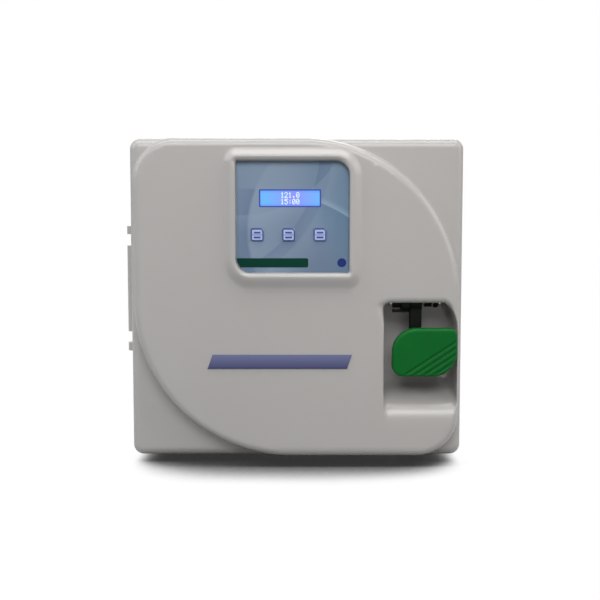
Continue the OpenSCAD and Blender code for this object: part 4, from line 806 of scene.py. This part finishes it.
# On each key: a raised frame and three plain bars. The frame's outlines are given by half their width,
# a corner radius and the wider upper right one, the bars by lower edge, upper edge and half width.
KEY_FRAME = ((7, 2.2, 3.4), (5.7, 1.2, 2.4))
KEY_FRAME_UP, KEY_FRAME_DOWN, KEY_FRAME_EDGE = 0.25, 0.3, 0.12
KEY_BARS = ((-4.1, -2.0, 3.9), (-0.55, 0.1, 5.2), (1.3, 3.3, 3.7))
KEY_BAR_UP, KEY_BAR_R = 0.1, 0.25
for body, node in (("left_key", "key_left"), ("middle_key", "key_middle"), ("right_key", "key_right")):
    lo, hi = (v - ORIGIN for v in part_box(node))
    kx, kz, ky = (lo.x + hi.x) / 2 / MM, (lo.z + hi.z) / 2 / MM, lo.y / MM
    outlines = [
        rounded(kx - half, kz - half, kx + half, kz + half, r, r, wide, r)
        for half, r, wide in KEY_FRAME
    ]
    flat_piece(
        node + "_frame", outlines, ky - KEY_FRAME_UP, ky + KEY_FRAME_DOWN, body, INK_KEY,
        KEY_FRAME_EDGE,
    )
    for i, (low, high, half) in enumerate(KEY_BARS):
        bar = rounded(kx - half, kz + low, kx + half, kz + high, *[KEY_BAR_R] * 4, n=4)
        flat_piece(
            f"{node}_mark_{i}", [bar], ky - KEY_BAR_UP, ky + KEY_BAR_UP, body, INK_KEY
        )

# Plain numbers on the display, in dots: each row of a figure from the top down
DOTS = {
    "0": "01110 10001 10011 10101 11001 10001 01110",
    "1": "00100 01100 00100 00100 00100 00100 01110",
    "2": "01110 10001 00001 00010 00100 01000 11111",
    "5": "11111 10000 11110 00001 00001 10001 01110",
    ":": "00000 00100 00100 00000 00100 00100 00000",
    ".": "00000 00000 00000 00000 00000 01100 01100",
}
DISPLAY_LINES = (("121.0", 3.7), ("15:00", -3.7))
FIGURE_PITCH, DOT_ACROSS, DOT_DOWN = 4.3, 0.72, 0.86
DOT_HALF_W, DOT_HALF_H, DOT_Y = 0.31, 0.37, -19.06
lit = bmesh.new()
for text, row in DISPLAY_LINES:
    for i, char in enumerate(text):
        for r, bits in enumerate(DOTS[char].split()):
            for c, bit in enumerate(bits):
                if bit == "1":
                    x = LCD_X + (i - (len(text) - 1) / 2) * FIGURE_PITCH + (c - 2) * DOT_ACROSS
                    z = LCD_Z + row + (3 - r) * DOT_DOWN
                    dot = [
                        lit.verts.new(world(x + sx * DOT_HALF_W, DOT_Y, z + sz * DOT_HALF_H))
                        for sx, sz in ((-1, -1), (1, -1), (1, 1), (-1, 1))
                    ]
                    lit.faces.new(dot).normal_update()
digits_mesh = bpy.data.meshes.new("display_digits")
lit.to_mesh(digits_mesh)
lit.free()
digits = bpy.data.objects.new("display_digits", digits_mesh)
scene.collection.objects.link(digits)
INK_LIT = finish_material("ink_lit", rgb(214, 232, 255), 0.3, vary=0.03, edge=0)
lit_shader = INK_LIT.node_tree.nodes["Principled BSDF"]
lit_shader.inputs["Emission Color"].default_value = (0.8, 0.9, 1.0, 1)
lit_shader.inputs["Emission Strength"].default_value = 0.55
digits_mesh.materials.append(INK_LIT)
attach(digits, "door")

# The badge's place stays bare: a slanted field on the CAD strip
BADGE_L, BADGE_R, BADGE_HALF_H, BADGE_SLANT = -95.0, 58.6, 6.6, 1.4
BADGE_FRONT, BADGE_BACK, BADGE_EDGE = -25.2, -24.6, 0.1
badge = [
    (BADGE_L - BADGE_SLANT, BADGE_Z - BADGE_HALF_H), (BADGE_R - BADGE_SLANT, BADGE_Z - BADGE_HALF_H),
    (BADGE_R + BADGE_SLANT, BADGE_Z + BADGE_HALF_H), (BADGE_L + BADGE_SLANT, BADGE_Z + BADGE_HALF_H),
]
flat_piece(
    "badge_field", [badge], BADGE_FRONT, BADGE_BACK, "door", MATS["badge_film"],
    BADGE_EDGE,
)
